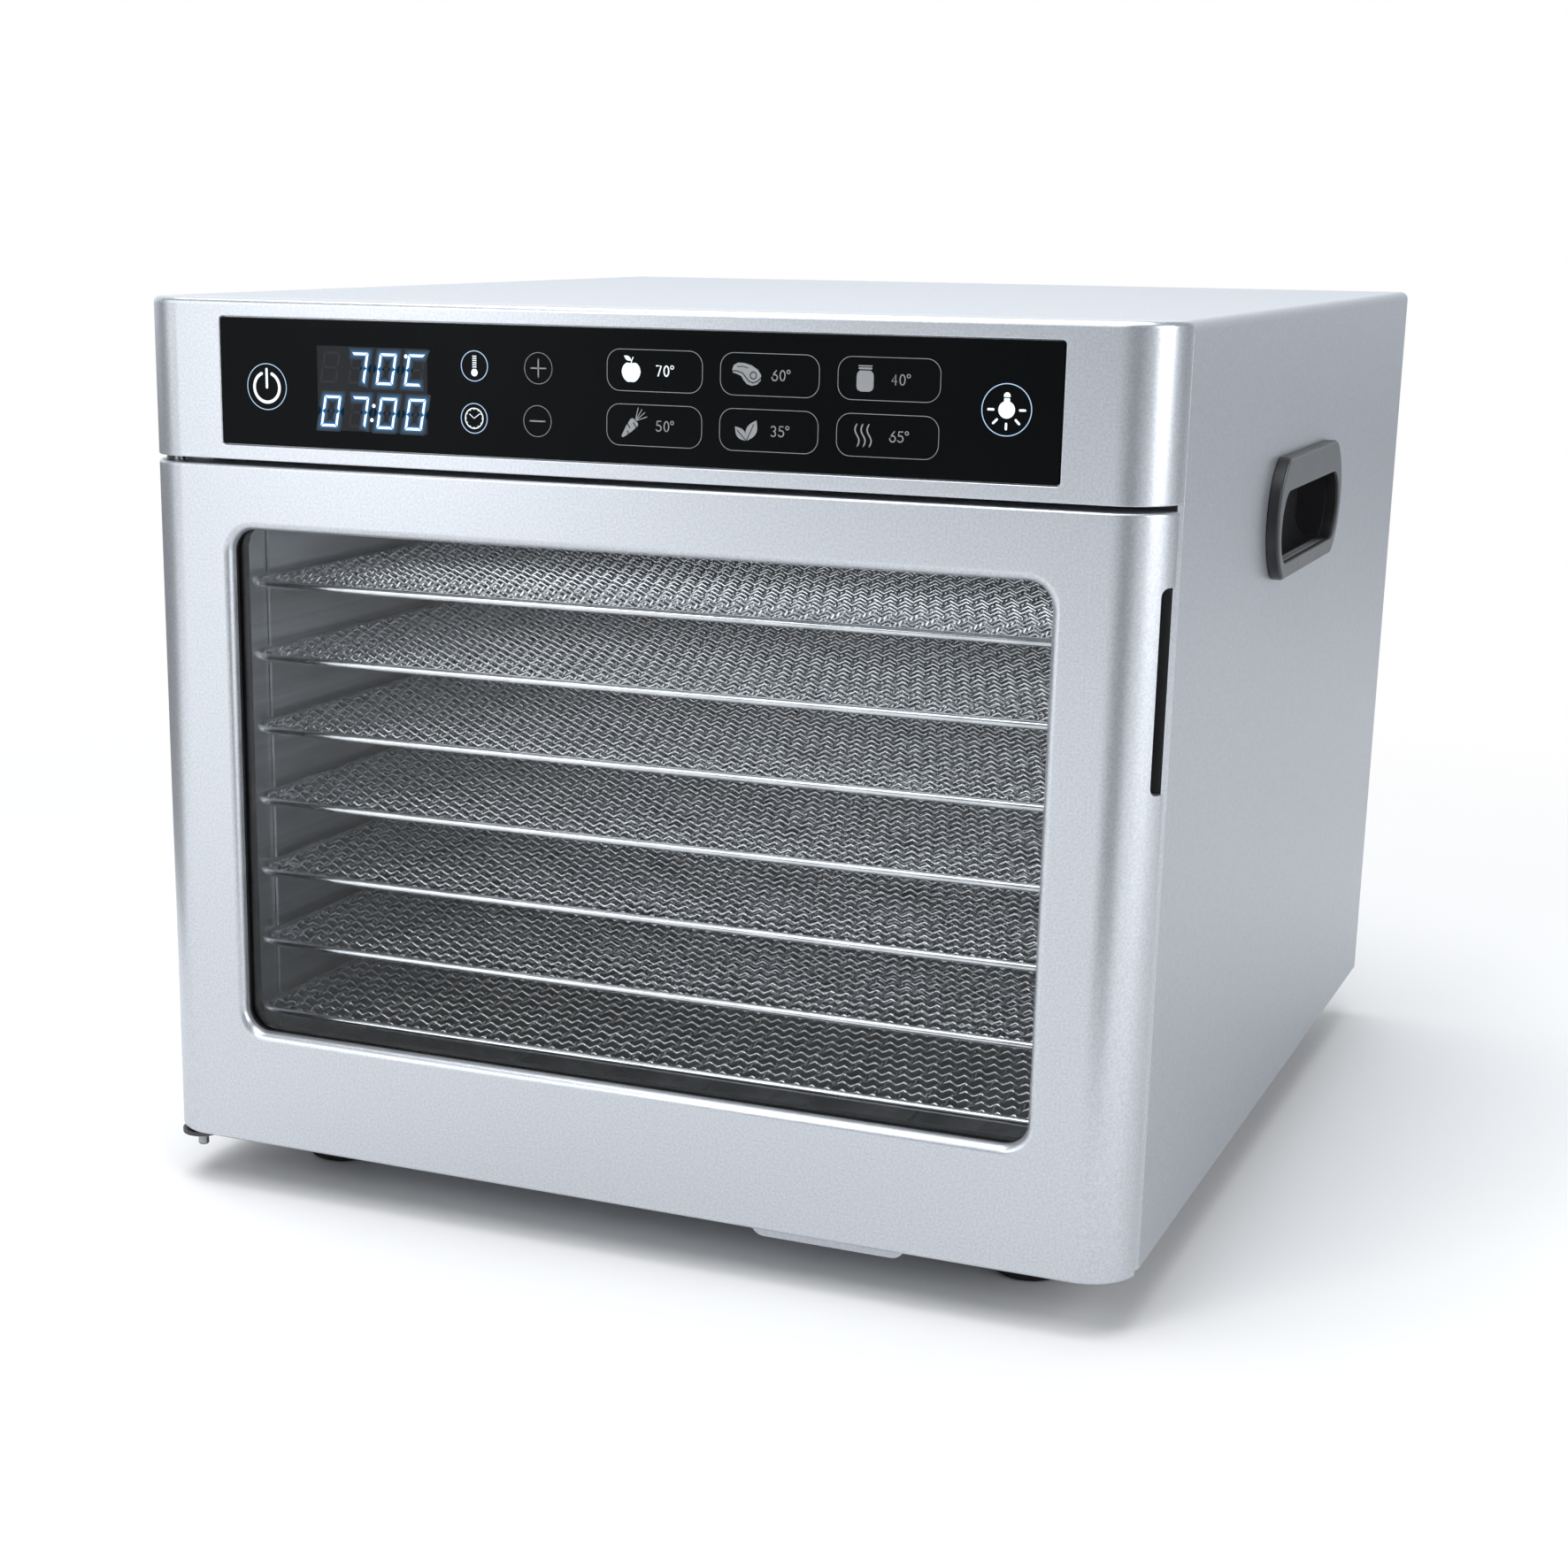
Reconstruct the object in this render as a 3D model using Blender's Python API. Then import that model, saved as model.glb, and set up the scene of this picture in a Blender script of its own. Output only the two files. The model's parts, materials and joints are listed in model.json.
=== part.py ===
"""Cabinet food dehydrator: glass door on the left hinge, seven wire trays, rear fan and heater.

Lengths are millimetres; MM turns them into Blender's metres. X is the width, -Y is the door side,
+Z is up, and the origin is on the table under the middle of the cabinet.
"""
import math

import bmesh
import bpy
from mathutils import Vector

MM = 0.001

# Cabinet
WIDTH = 350.0
DEPTH = 400.0
TOP_Z = 309.0
FOOT_HEIGHT = 20.0
SHEET = 1.5
GAP = 0.3
HALF_WIDTH = WIDTH / 2
FRONT_Y = -DEPTH / 2
BACK_Y = DEPTH / 2
SHELL_Z = FOOT_HEIGHT
BEND_R = 3.0
FRONT_CORNER_R = 17.0
SEAM_Y = FRONT_Y + FRONT_CORNER_R
FLOOR_Z = SHELL_Z + SHEET + GAP
FLOOR_TOP = FLOOR_Z + SHEET
REAR_FRAME_Y = 194.2
REAR_FRAME_BAR = 20.0

# Top bezel and door mouth
BEZEL_Z = 257.2
BEZEL_WALL = 1.5
HOLLOW_DEPTH = 12.5
FASCIA_BACK_Y = SEAM_Y - GAP
MOUTH_FRAME_Y = FASCIA_BACK_Y - 2.7
JAMB_BACK_Y = -176.0
MOUTH_HALF = 157.5
MOUTH_LOW = 28.0
MOUTH_HIGH = 238.0
PANEL_BOX = (-141.4, 262.3, 142.1, 303.0)
PANEL_FIT = 0.3

# Door
DOOR_LOW = 18.4
DOOR_HIGH = 255.4
DOOR_BACK_Y = -186.5
WINDOW = (-140.3, 59.5, 141.5, 234.1)
WINDOW_R = 8.0
WINDOW_LIP = 3.0
WINDOW_WALL = 0.8
GLASS_MARGIN = 6.5
GLASS_FRONT_Y = -194.6
GLASS_BACK_Y = -191.4
PIVOT_X = -165.0
PIVOT_Y = -191.0
HINGE_CLEARANCE_R = 11.2
PIN_R = 1.9
BUSH_HOLE_R = 2.2
BUSH_R = 3.2
BUSH_LENGTH = 9.5
NOTCH_LOW = 172.0
NOTCH_HIGH = 233.5
NOTCH_X = 160.0
NOTCH_FRONT_Y = -192.5

# Chamber and trays
CHAMBER_HALF = 160.0
CHAMBER_TOP = 238.0
LINER = 1.0
LINER_FRONT_Y = -175.5
BAFFLE_Y = 134.5
BAFFLE_T = 1.2
TRAY_COUNT = 7
TRAY_TOP_Z = 211.8
TRAY_PITCH = 25.7
TRAY_HALF = 156.3
TRAY_FRONT_Y = -171.0
TRAY_BACK_Y = 126.5
TRAY_CORNER_R = 12.0
TRAY_HALF_T = 1.4
RACK_FRONT_Y = -147.0
RACK_BACK_Y = 128.0
RACK_WALL_X = 158.7
LEDGE_X = 149.5

# Fan
FAN_Z = 131.0
IMPELLER_R = 60.0
HUB_R = 12.0
SHAFT_R = 3.0
SHROUD_Y = 164.0
MOTOR_R = 28.0
MOTOR_FRONT_Y = 167.7
MOTOR_BACK_Y = 190.5
HEATER_R = 72.0
HEATER_TUBE_R = 3.3

# Side hand grips
GRIP_Y = -6.0
GRIP_LOW = 219.5
GRIP_HIGH = 260.4
GRIP_STRAIGHT = 42.0
GRIP_BULGE = 14.0
GRIP_OUT = 4.5
GRIP_OPEN_LOW = 225.0
GRIP_OPEN_HIGH = 249.3
GRIP_OPEN_STRAIGHT = 41.0
GRIP_OPEN_BULGE = 10.5

# Crumb tray
CRUMB_HALF = 104.0
CRUMB_LOW = 12.0
CRUMB_HIGH = 17.6
CRUMB_BACK_Y = 110.0
CRUMB_WALL = 1.0
PULL_BOX = (46.5, 11.5, 100.0)

# Feet and screws
FOOT_X = 131.0
FOOT_Y = 150.0
SCREW_X = 160.0
SCREW_LOW_Z = 36.0
SCREW_HIGH_Z = 292.0
SCREW_HOLE_R = 2.2

# Colours: base colour, roughness, metallic, alpha
FINISHES = {
    "silver_paint": ((0.66, 0.68, 0.71), 0.35, 0.65, 1.0),
    "black_glass": ((0.012, 0.013, 0.015), 0.08, 0.0, 1.0),
    "clear_glass": ((0.80, 0.85, 0.87), 0.03, 0.0, 0.25),
    "black_plastic": ((0.02, 0.02, 0.022), 0.45, 0.0, 1.0),
    "black_rubber": ((0.012, 0.012, 0.012), 0.8, 0.0, 1.0),
    "dark_steel": ((0.10, 0.10, 0.11), 0.4, 0.8, 1.0),
    "bright_steel": ((0.74, 0.75, 0.76), 0.25, 1.0, 1.0),
    "galvanised": ((0.52, 0.54, 0.56), 0.45, 0.9, 1.0),
    "circuit_board": ((0.03, 0.16, 0.07), 0.5, 0.0, 1.0),
    "display_black": ((0.015, 0.02, 0.03), 0.15, 0.0, 1.0),
    "white_plastic": ((0.80, 0.80, 0.78), 0.45, 0.0, 1.0),
    "frosted_lens": ((0.90, 0.90, 0.86), 0.5, 0.0, 0.8),
}


# ---- small helpers -------------------------------------------------------------------------

def clear_scene():
    for obj in list(bpy.data.objects):
        bpy.data.objects.remove(obj)


def finish(name):
    """The shared Principled material of one finish."""
    material = bpy.data.materials.get(name)
    if material:
        return material
    colour, roughness, metallic, alpha = FINISHES[name]
    material = bpy.data.materials.new(name)
    material.use_nodes = True
    shader = material.node_tree.nodes["Principled BSDF"]
    shader.inputs["Base Color"].default_value = (*colour, 1.0)
    shader.inputs["Roughness"].default_value = roughness
    shader.inputs["Metallic"].default_value = metallic
    shader.inputs["Alpha"].default_value = alpha
    return material


def arc(cx, cy, radius, start, end, steps):
    """Points of a circular arc, angles in degrees, both ends included."""
    points = []
    for i in range(steps + 1):
        angle = math.radians(start + (end - start) * i / steps)
        points.append((cx + radius * math.cos(angle), cy + radius * math.sin(angle)))
    return points


def circle(cx, cy, radius, steps):
    return arc(cx, cy, radius, 0.0, 360.0 - 360.0 / steps, steps - 1)


def rectangle(x0, y0, x1, y1):
    return [(x0, y0), (x1, y0), (x1, y1), (x0, y1)]


def rounded(x0, y0, x1, y1, radius, steps=4):
    points = arc(x1 - radius, y1 - radius, radius, 0, 90, steps)
    points += arc(x0 + radius, y1 - radius, radius, 90, 180, steps)
    points += arc(x0 + radius, y0 + radius, radius, 180, 270, steps)
    points += arc(x1 - radius, y0 + radius, radius, 270, 360, steps)
    return points


def bulged(centre, low, high, straight, bulge, steps=8):
    """A flat-topped outline whose two ends are shallow circular arcs."""
    half = (high - low) / 2
    radius = (half * half + bulge * bulge) / (2 * bulge)
    swing = math.degrees(math.asin(half / radius))
    middle = (low + high) / 2
    offset = straight + bulge - radius
    points = arc(centre + offset, middle, radius, -swing, swing, steps)
    points += arc(centre - offset, middle, radius, 180 - swing, 180 + swing, steps)
    return points


def place(axis, u, v, w):
    """World point of a profile point (u, v) at height w along the axis."""
    if axis == "X":
        return Vector((w, u, v)) * MM
    if axis == "Y":
        return Vector((u, w, v)) * MM
    return Vector((u, v, w)) * MM


def add_object(name, mesh_builder, origin=(0, 0, 0), parent=None):
    """Link a mesh object whose origin is at the given place, under an optional empty."""
    offset = Vector(origin) * MM
    for vert in mesh_builder.verts:
        vert.co -= offset
    bmesh.ops.recalc_face_normals(mesh_builder, faces=mesh_builder.faces)
    mesh = bpy.data.meshes.new(name)
    mesh_builder.to_mesh(mesh)
    mesh_builder.free()
    obj = bpy.data.objects.new(name, mesh)
    bpy.context.scene.collection.objects.link(obj)
    obj.location = offset
    if parent:
        obj.parent = parent
        obj.location = offset - parent.location
    return obj


def prism(name, loops, low, high, axis, origin=(0, 0, 0), parent=None):
    """A flat outline with holes, pushed from low to high along an axis."""
    bm = bmesh.new()
    for loop in loops:
        verts = [bm.verts.new(place(axis, u, v, low)) for u, v in loop]
        for i, vert in enumerate(verts):
            bm.edges.new((vert, verts[(i + 1) % len(verts)]))
    bmesh.ops.triangle_fill(bm, use_beauty=True, edges=bm.edges)
    pushed = bmesh.ops.extrude_face_region(bm, geom=bm.faces[:], use_keep_orig=True)
    moved = [item for item in pushed["geom"] if isinstance(item, bmesh.types.BMVert)]
    bmesh.ops.translate(bm, vec=place(axis, 0, 0, high - low), verts=moved)
    return add_object(name, bm, origin, parent)


def tapered(name, loop_a, at_a, loop_b, at_b, axis):
    """A solid between two outlines that have the same number of points."""
    bm = bmesh.new()
    ring_a = [bm.verts.new(place(axis, u, v, at_a)) for u, v in loop_a]
    ring_b = [bm.verts.new(place(axis, u, v, at_b)) for u, v in loop_b]
    bm.faces.new(ring_a)
    bm.faces.new(ring_b)
    for i in range(len(ring_a)):
        j = (i + 1) % len(ring_a)
        bm.faces.new((ring_a[i], ring_a[j], ring_b[j], ring_b[i]))
    return add_object(name, bm)


def turned(name, profile, centre, axis, steps, origin=(0, 0, 0), parent=None):
    """A closed round solid: profile lists (radius, height) from one end to the other."""
    bm = bmesh.new()
    rings = []
    for radius, height in profile:
        ring = circle(centre[0], centre[1], radius, steps)
        rings.append([bm.verts.new(place(axis, u, v, height)) for u, v in ring])
    bm.faces.new(rings[0])
    bm.faces.new(rings[-1])
    for below, above in zip(rings, rings[1:]):
        for i in range(steps):
            j = (i + 1) % steps
            bm.faces.new((below[i], below[j], above[j], above[i]))
    return add_object(name, bm, origin, parent)


def combine(obj, tool, operation):
    """Cut or join with a helper solid, which stays in the file as a hidden wire guide."""
    tool.hide_render = True
    tool.display_type = "WIRE"
    modifier = obj.modifiers.new(tool.name, "BOOLEAN")
    modifier.operation = operation
    modifier.object = tool
    return obj


def cut(obj, tool):
    return combine(obj, tool, "DIFFERENCE")


def join(obj, tool):
    return combine(obj, tool, "UNION")


def dress(obj, finish_name, smooth=False):
    obj.data.materials.append(finish(finish_name))
    if smooth:
        obj.data.shade_smooth()
        obj.data.set_sharp_from_angle(angle=math.radians(40))
    return obj


def grown(box, margin):
    return (box[0] - margin, box[1] - margin, box[2] + margin, box[3] + margin)


# ---- cabinet -------------------------------------------------------------------------------

def wrap_outline(half, low, high, wall):
    """Section of a sheet bent down over the left side, the top and the right side."""
    outer = [(-half, low)]
    outer += arc(-half + BEND_R, high - BEND_R, BEND_R, 180, 90, 3)
    outer += arc(half - BEND_R, high - BEND_R, BEND_R, 90, 0, 3)
    outer += [(half, low)]
    inner_r = BEND_R - wall
    inner = [(half - wall, low)]
    inner += arc(half - BEND_R, high - BEND_R, inner_r, 0, 90, 3)
    inner += arc(-half + BEND_R, high - BEND_R, inner_r, 90, 180, 3)
    inner += [(-half + wall, low)]
    return outer + inner


def make_outer_shell():
    section = wrap_outline(HALF_WIDTH, SHELL_Z, TOP_Z, SHEET)
    shell = prism("outer_shell", [section], SEAM_Y, BACK_Y, "Y")
    cut(shell, prism("shell_grip_cut", [grip_plan(0)], -200, 200, "X"))
    return dress(shell, "silver_paint")


def make_rear_frame():
    """Ring welded inside the shell's rear end; the rear panel is screwed to it."""
    edge = HALF_WIDTH - SHEET - GAP
    low, high = FLOOR_TOP + 0.7, TOP_Z - SHEET - 1.0
    outline = rectangle(-edge, low, edge, high)
    bar = REAR_FRAME_BAR
    inside = rectangle(bar - edge, low + bar, edge - bar, high - bar)
    holes = [circle(x, z, SCREW_HOLE_R, 8) for x, z in screw_places()]
    ring = prism("rear_frame", [outline, inside] + holes, REAR_FRAME_Y, REAR_FRAME_Y + SHEET, "Y")
    return dress(ring, "galvanised")


def screw_places():
    places = []
    for z in (SCREW_LOW_Z, SCREW_HIGH_Z):
        for x in (-SCREW_X, SCREW_X):
            places.append((x, z))
    return places


def make_base_pan():
    """Bottom plate; crumbs fall through its long slots into the tray below."""
    outline = rectangle(-172.5, SEAM_Y + 0.5, 172.5, REAR_FRAME_Y - GAP)
    slots = []
    for i in range(5):
        x = -80 + 40 * i
        slots.append(rectangle(x - 13, -150, x + 13, 95))
    pan = prism("base_pan", [outline] + slots, FLOOR_Z, FLOOR_TOP, "Z")
    notch = [(HINGE_CLEARANCE_R, FLOOR_Z - 2), (HINGE_CLEARANCE_R, FLOOR_TOP + 2)]
    cut(pan, turned("door_swing_notch", notch, (PIVOT_X, PIVOT_Y), "Z", 28))
    return dress(pan, "galvanised")


def make_rear_panel():
    """Back plate with air slots in front of the fan and a hole for the mains inlet."""
    outline = rectangle(-172.8, 22.0, 172.8, 307.0)
    holes = [inlet_outline(0.4)]
    for row in range(7):
        z = FAN_Z - 48 + 16 * row
        for side in (-1, 1):
            holes.append(rectangle(side * 33 - 29, z - 3, side * 33 + 29, z + 3))
    for x, z in screw_places():
        holes.append(circle(x, z, SCREW_HOLE_R, 8))
    panel = prism("rear_panel", [outline] + holes, 196.0, 196.0 + SHEET, "Y")
    return dress(panel, "galvanised")


def inlet_outline(margin):
    return rectangle(104 - margin, 46 - margin, 132 + margin, 66 + margin)


def make_inlet_socket():
    """Mains inlet: a flange on the back, a body through the panel and three contact blades."""
    socket = prism("inlet_socket", [rectangle(98, 40, 138, 72)], 197.8, 200.0, "Y")
    join(socket, prism("inlet_body", [inlet_outline(0)], 176, 199, "Y"))
    cut(socket, prism("inlet_hollow", [rectangle(106, 48, 130, 64)], 182, 205, "Y"))
    for i, (x, z) in enumerate(((112, 54), (118, 58), (124, 54))):
        blade = prism(f"inlet_blade_{i}", [rectangle(x - 1, z - 2, x + 1, z + 2)], 180, 195, "Y")
        join(socket, blade)
    return dress(socket, "black_plastic")


def bezel_outline(back_y):
    """Plan of the front mouldings: square at the back, round at the two front edges."""
    centre = HALF_WIDTH - FRONT_CORNER_R
    reach = math.degrees(math.asin((SEAM_Y - back_y) / FRONT_CORNER_R))
    points = arc(-centre, SEAM_Y, FRONT_CORNER_R, 180 + reach, 270, 8)
    points += arc(centre, SEAM_Y, FRONT_CORNER_R, 270, 360 - reach, 8)
    return points


def hollow_outline():
    """Plan of the space inside the bezel: an even wall round the two front corners."""
    centre = HALF_WIDTH - FRONT_CORNER_R
    radius = FRONT_CORNER_R - BEZEL_WALL
    low = math.degrees(math.acos(HOLLOW_DEPTH / radius))
    high = math.degrees(math.asin(HOLLOW_DEPTH / radius))
    points = [(-centre - HOLLOW_DEPTH, FASCIA_BACK_Y - 1.2)]
    points += arc(-centre, SEAM_Y, radius, 180 + low, 180 + high, 3)
    points += arc(centre, SEAM_Y, radius, 360 - high, 360 - low, 3)
    points += [(centre + HOLLOW_DEPTH, FASCIA_BACK_Y - 1.2)]
    return points


def make_front_fascia():
    """One moulding: the bezel above the door and the frame round the chamber's mouth."""
    fascia = prism("front_fascia", [bezel_outline(FASCIA_BACK_Y)], BEZEL_Z, TOP_Z, "Z")
    mouth = rectangle(-MOUTH_HALF, MOUTH_LOW, MOUTH_HALF, MOUTH_HIGH)
    face = rectangle(-HALF_WIDTH, SHELL_Z, HALF_WIDTH, BEZEL_Z + 1)
    join(fascia, prism("mouth_frame", [face, mouth], MOUTH_FRAME_Y, FASCIA_BACK_Y, "Y"))
    jamb = rectangle(-173.0, FLOOR_TOP + 0.5, 173.0, 307.0)
    bay = rectangle(-168.0, 262.0, 168.0, 304.0)
    join(fascia, prism("jamb_frame", [jamb, mouth, bay], FASCIA_BACK_Y - 1, JAMB_BACK_Y, "Y"))
    cut(fascia, prism("bezel_hollow", [hollow_outline()], BEZEL_Z + 2.8, TOP_Z - 2.5, "Z"))
    recess = grown(PANEL_BOX, PANEL_FIT)
    cut(fascia, prism("panel_recess", [rectangle(*recess)], FRONT_Y - 2, FRONT_Y + 2, "Y"))
    port = rectangle(PANEL_BOX[0] + 4, PANEL_BOX[1] + 4, PANEL_BOX[2] - 4, PANEL_BOX[3] - 4)
    cut(fascia, prism("panel_port", [port], FRONT_Y + 1, FRONT_Y + 9, "Y"))
    groove = [(HINGE_CLEARANCE_R, 10.0), (HINGE_CLEARANCE_R, BEZEL_Z - 0.6)]
    cut(fascia, turned("hinge_groove", groove, (PIVOT_X, PIVOT_Y), "Z", 28))
    pin_hole = [(BUSH_HOLE_R, BEZEL_Z - 3), (BUSH_HOLE_R, BEZEL_Z + 8)]
    cut(fascia, turned("upper_pin_hole", pin_hole, (PIVOT_X, PIVOT_Y), "Z", 12))
    strike = rectangle(158.6, 117.6, 168.4, 152.4)
    cut(fascia, prism("strike_recess", [strike], MOUTH_FRAME_Y - 1, MOUTH_FRAME_Y + 1.3, "Y"))
    return dress(fascia, "silver_paint", smooth=True)


def make_controls():
    """Touch glass in the bezel, and the display and control board behind it."""
    x0, z0, x1, z1 = PANEL_BOX
    outline = rounded(x0, z0, x1, z1, 1.0, 2)
    glass = prism("touch_glass", [outline], FRONT_Y + 0.2, FRONT_Y + 1.7, "Y")
    dress(glass, "black_glass")
    display = prism("display_module", [rectangle(-106, 267, -62, 298)], FRONT_Y + 2.2, FRONT_Y + 7.5, "Y")
    dress(display, "display_black")
    board = prism("control_board", [rectangle(-132, 268, 132, 298)], FRONT_Y + 8, FRONT_Y + 9.6, "Y")
    join(board, prism("board_chip", [rectangle(20, 272, 44, 292)], FRONT_Y + 9, FRONT_Y + 13, "Y"))
    dress(board, "circuit_board")


def make_power_board():
    """Supply and relay board lying on the chamber's ceiling."""
    board = prism("power_board", [rectangle(-20, 60, 90, 140)], 246.0, 247.6, "Z")
    for i, (x0, y0, x1, y1, high) in enumerate(((-12, 70, 18, 105, 268), (30, 70, 48, 92, 260),
                                                (60, 75, 76, 110, 258))):
        join(board, prism(f"power_block_{i}", [rectangle(x0, y0, x1, y1)], 247, high, "Z"))
    for i, (x, y) in enumerate(((-15, 65), (85, 65), (-15, 135), (85, 135))):
        post = [(2.5, CHAMBER_TOP + LINER + GAP), (2.5, 246.5)]
        join(board, turned(f"power_post_{i}", post, (x, y), "Z", 8))
    return dress(board, "circuit_board")


def grip_plan(inset):
    """Outline of the grip's cut-out in the side sheet, or of what fits inside it."""
    low = GRIP_LOW + 2.4 + inset
    high = GRIP_HIGH - 2.4 - inset
    return bulged(GRIP_Y, low, high, GRIP_STRAIGHT - 1 - inset, GRIP_BULGE - 2)


def grip_section(side):
    """Cup of a hand grip, seen along Y: shallow below, hooked up behind the face above."""
    outer = [(177, 215), (163.4, 215), (162.6, 226), (162.6, 240.8), (149, 240.8), (149, 265), (177, 265)]
    inner = [(183, GRIP_OPEN_LOW), (173, GRIP_OPEN_LOW), (166.5, 228.5), (164.6, 233), (164.6, 242.8),
             (151, 242.8), (151, 255.4), (174.5, 255.4), (174.5, GRIP_OPEN_HIGH), (183, GRIP_OPEN_HIGH)]
    return [(side * x, z) for x, z in outer], [(side * x, z) for x, z in inner]


def make_hand_grip(name, side):
    """Hand grip let into a side: a raised face plate and the black cup behind it."""
    face = bulged(GRIP_Y, GRIP_LOW, GRIP_HIGH, GRIP_STRAIGHT, GRIP_BULGE)
    inside = side * (HALF_WIDTH + GAP)
    grip = prism(name, [face], inside, side * (HALF_WIDTH + GRIP_OUT), "X")
    outer, inner = grip_section(side)
    cup = prism(name + "_cup", [outer], GRIP_Y - 70, GRIP_Y + 70, "Y")
    combine(cup, prism(name + "_cup_plan", [grip_plan(0.6)], side * 140, side * 190, "X"), "INTERSECT")
    join(grip, cup)
    hollow = prism(name + "_hollow", [inner], GRIP_Y - 70, GRIP_Y + 70, "Y")
    limit = prism(name + "_limit", [grip_plan(2.4)], side * 140, side * 175.5, "X")
    combine(hollow, limit, "INTERSECT")
    cut(grip, hollow)
    opening = bulged(GRIP_Y, GRIP_OPEN_LOW, GRIP_OPEN_HIGH, GRIP_OPEN_STRAIGHT, GRIP_OPEN_BULGE)
    mouth = prism(name + "_mouth", [opening], side * 174.6, side * 190, "X")
    cut(grip, mouth)
    return dress(grip, "black_plastic")


def make_feet():
    for end, y in (("front", -FOOT_Y), ("rear", FOOT_Y)):
        for side, x in (("left", -FOOT_X), ("right", FOOT_X)):
            profile = [(9.5, 0.0), (11.5, 1.2), (12.5, 8.0), (12.5, FLOOR_Z - GAP)]
            foot = turned(f"foot_{end}_{side}", profile, (x, y), "Z", 20)
            dress(foot, "black_rubber", smooth=True)


# ---- chamber -------------------------------------------------------------------------------

def make_chamber_liner():
    """Bent sheet lining the sides and ceiling of the drying chamber, open at front and floor."""
    out = CHAMBER_HALF + LINER
    low = FLOOR_TOP + 0.7
    section = [(-out, low), (-out, CHAMBER_TOP + LINER), (out, CHAMBER_TOP + LINER), (out, low)]
    section += [(CHAMBER_HALF, low), (CHAMBER_HALF, CHAMBER_TOP)]
    section += [(-CHAMBER_HALF, CHAMBER_TOP), (-CHAMBER_HALF, low)]
    liner = prism("chamber_liner", [section], LINER_FRONT_Y, SHROUD_Y + 2.0, "Y")
    cut(liner, turned("lamp_cut", [(13.0, 230), (13.0, 245)], (-70, -120), "Z", 16))
    return dress(liner, "bright_steel")


def tray_height(index):
    return TRAY_TOP_Z - TRAY_PITCH * index


def make_rack(name, side):
    """Side rack: one strip with a ledge under each tray."""
    wall_out = CHAMBER_HALF - GAP
    section = [(wall_out, 30.0), (wall_out, 230.0), (RACK_WALL_X, 230.0)]
    for index in range(TRAY_COUNT):
        ledge_top = tray_height(index) - TRAY_HALF_T - GAP
        section += [(RACK_WALL_X, ledge_top), (LEDGE_X, ledge_top)]
        section += [(LEDGE_X, ledge_top - 1.2), (RACK_WALL_X, ledge_top - 1.2)]
    section += [(RACK_WALL_X, 30.0)]
    section = [(side * x, z) for x, z in section]
    rack = prism(name, [section], RACK_FRONT_Y, RACK_BACK_Y, "Y")
    return dress(rack, "bright_steel")


def make_tray(index):
    """Wire tray: rim and stiffening bars, long slots standing for the open mesh between them."""
    z = tray_height(index)
    outline = rounded(-TRAY_HALF, TRAY_FRONT_Y, TRAY_HALF, TRAY_BACK_Y, TRAY_CORNER_R, 4)
    rim, bar, columns, rows = 6.5, 2.4, 9, 3
    slot_w = (2 * (TRAY_HALF - rim) - (columns - 1) * bar) / columns
    slot_l = (TRAY_BACK_Y - TRAY_FRONT_Y - 2 * rim - (rows - 1) * bar) / rows
    slots = []
    for column in range(columns):
        x = -TRAY_HALF + rim + column * (slot_w + bar)
        for row in range(rows):
            y = TRAY_FRONT_Y + rim + row * (slot_l + bar)
            slots.append(rectangle(x, y, x + slot_w, y + slot_l))
    centre = (0, (TRAY_FRONT_Y + TRAY_BACK_Y) / 2, z)
    tray = prism(f"tray_{index + 1}", [outline] + slots, z - TRAY_HALF_T, z + TRAY_HALF_T, "Z", centre)
    return dress(tray, "bright_steel")


def make_rear_baffle():
    """Wall between trays and fan, with slots that spread the warm air."""
    edge = CHAMBER_HALF - GAP
    outline = rectangle(-edge, FLOOR_TOP + 0.7, edge, CHAMBER_TOP - GAP)
    slots = []
    for row in range(8):
        z = 44 + 25 * row
        for x in (-100, 0, 100):
            slots.append(rectangle(x - 40, z, x + 40, z + 6))
    baffle = prism("rear_baffle", [outline] + slots, BAFFLE_Y, BAFFLE_Y + BAFFLE_T, "Y")
    return dress(baffle, "galvanised")


def make_temp_sensor():
    profile = [(2.0, 118), (2.5, 119), (2.5, 130), (5.0, 130.5), (5.0, BAFFLE_Y - GAP)]
    sensor = turned("temp_sensor", profile, (130, 225), "Y", 12)
    return dress(sensor, "bright_steel", smooth=True)


def make_lamp():
    """Chamber lamp: a lens set into the ceiling and its holder above."""
    low = CHAMBER_TOP - 1.5
    profile = [(11.0, low), (12.4, low + 0.8), (12.4, CHAMBER_TOP + LINER + 1.5)]
    lens = turned("lamp_lens", profile, (-70, -120), "Z", 20)
    dress(lens, "frosted_lens", smooth=True)
    base = CHAMBER_TOP + LINER + 1.8
    holder = [(17.0, base), (17.0, base + 4), (10.0, base + 6), (10.0, base + 16)]
    dress(turned("lamp_holder", holder, (-70, -120), "Z", 20), "white_plastic", smooth=True)


# ---- air system ----------------------------------------------------------------------------

def make_fan_shroud():
    edge = CHAMBER_HALF - GAP
    outline = rectangle(-edge, FLOOR_TOP + 0.7, edge, CHAMBER_TOP - GAP)
    holes = [circle(0, FAN_Z, 20.0, 20)]
    shroud = prism("fan_shroud", [outline] + holes, SHROUD_Y, SHROUD_Y + BAFFLE_T, "Y")
    return dress(shroud, "galvanised")


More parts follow.
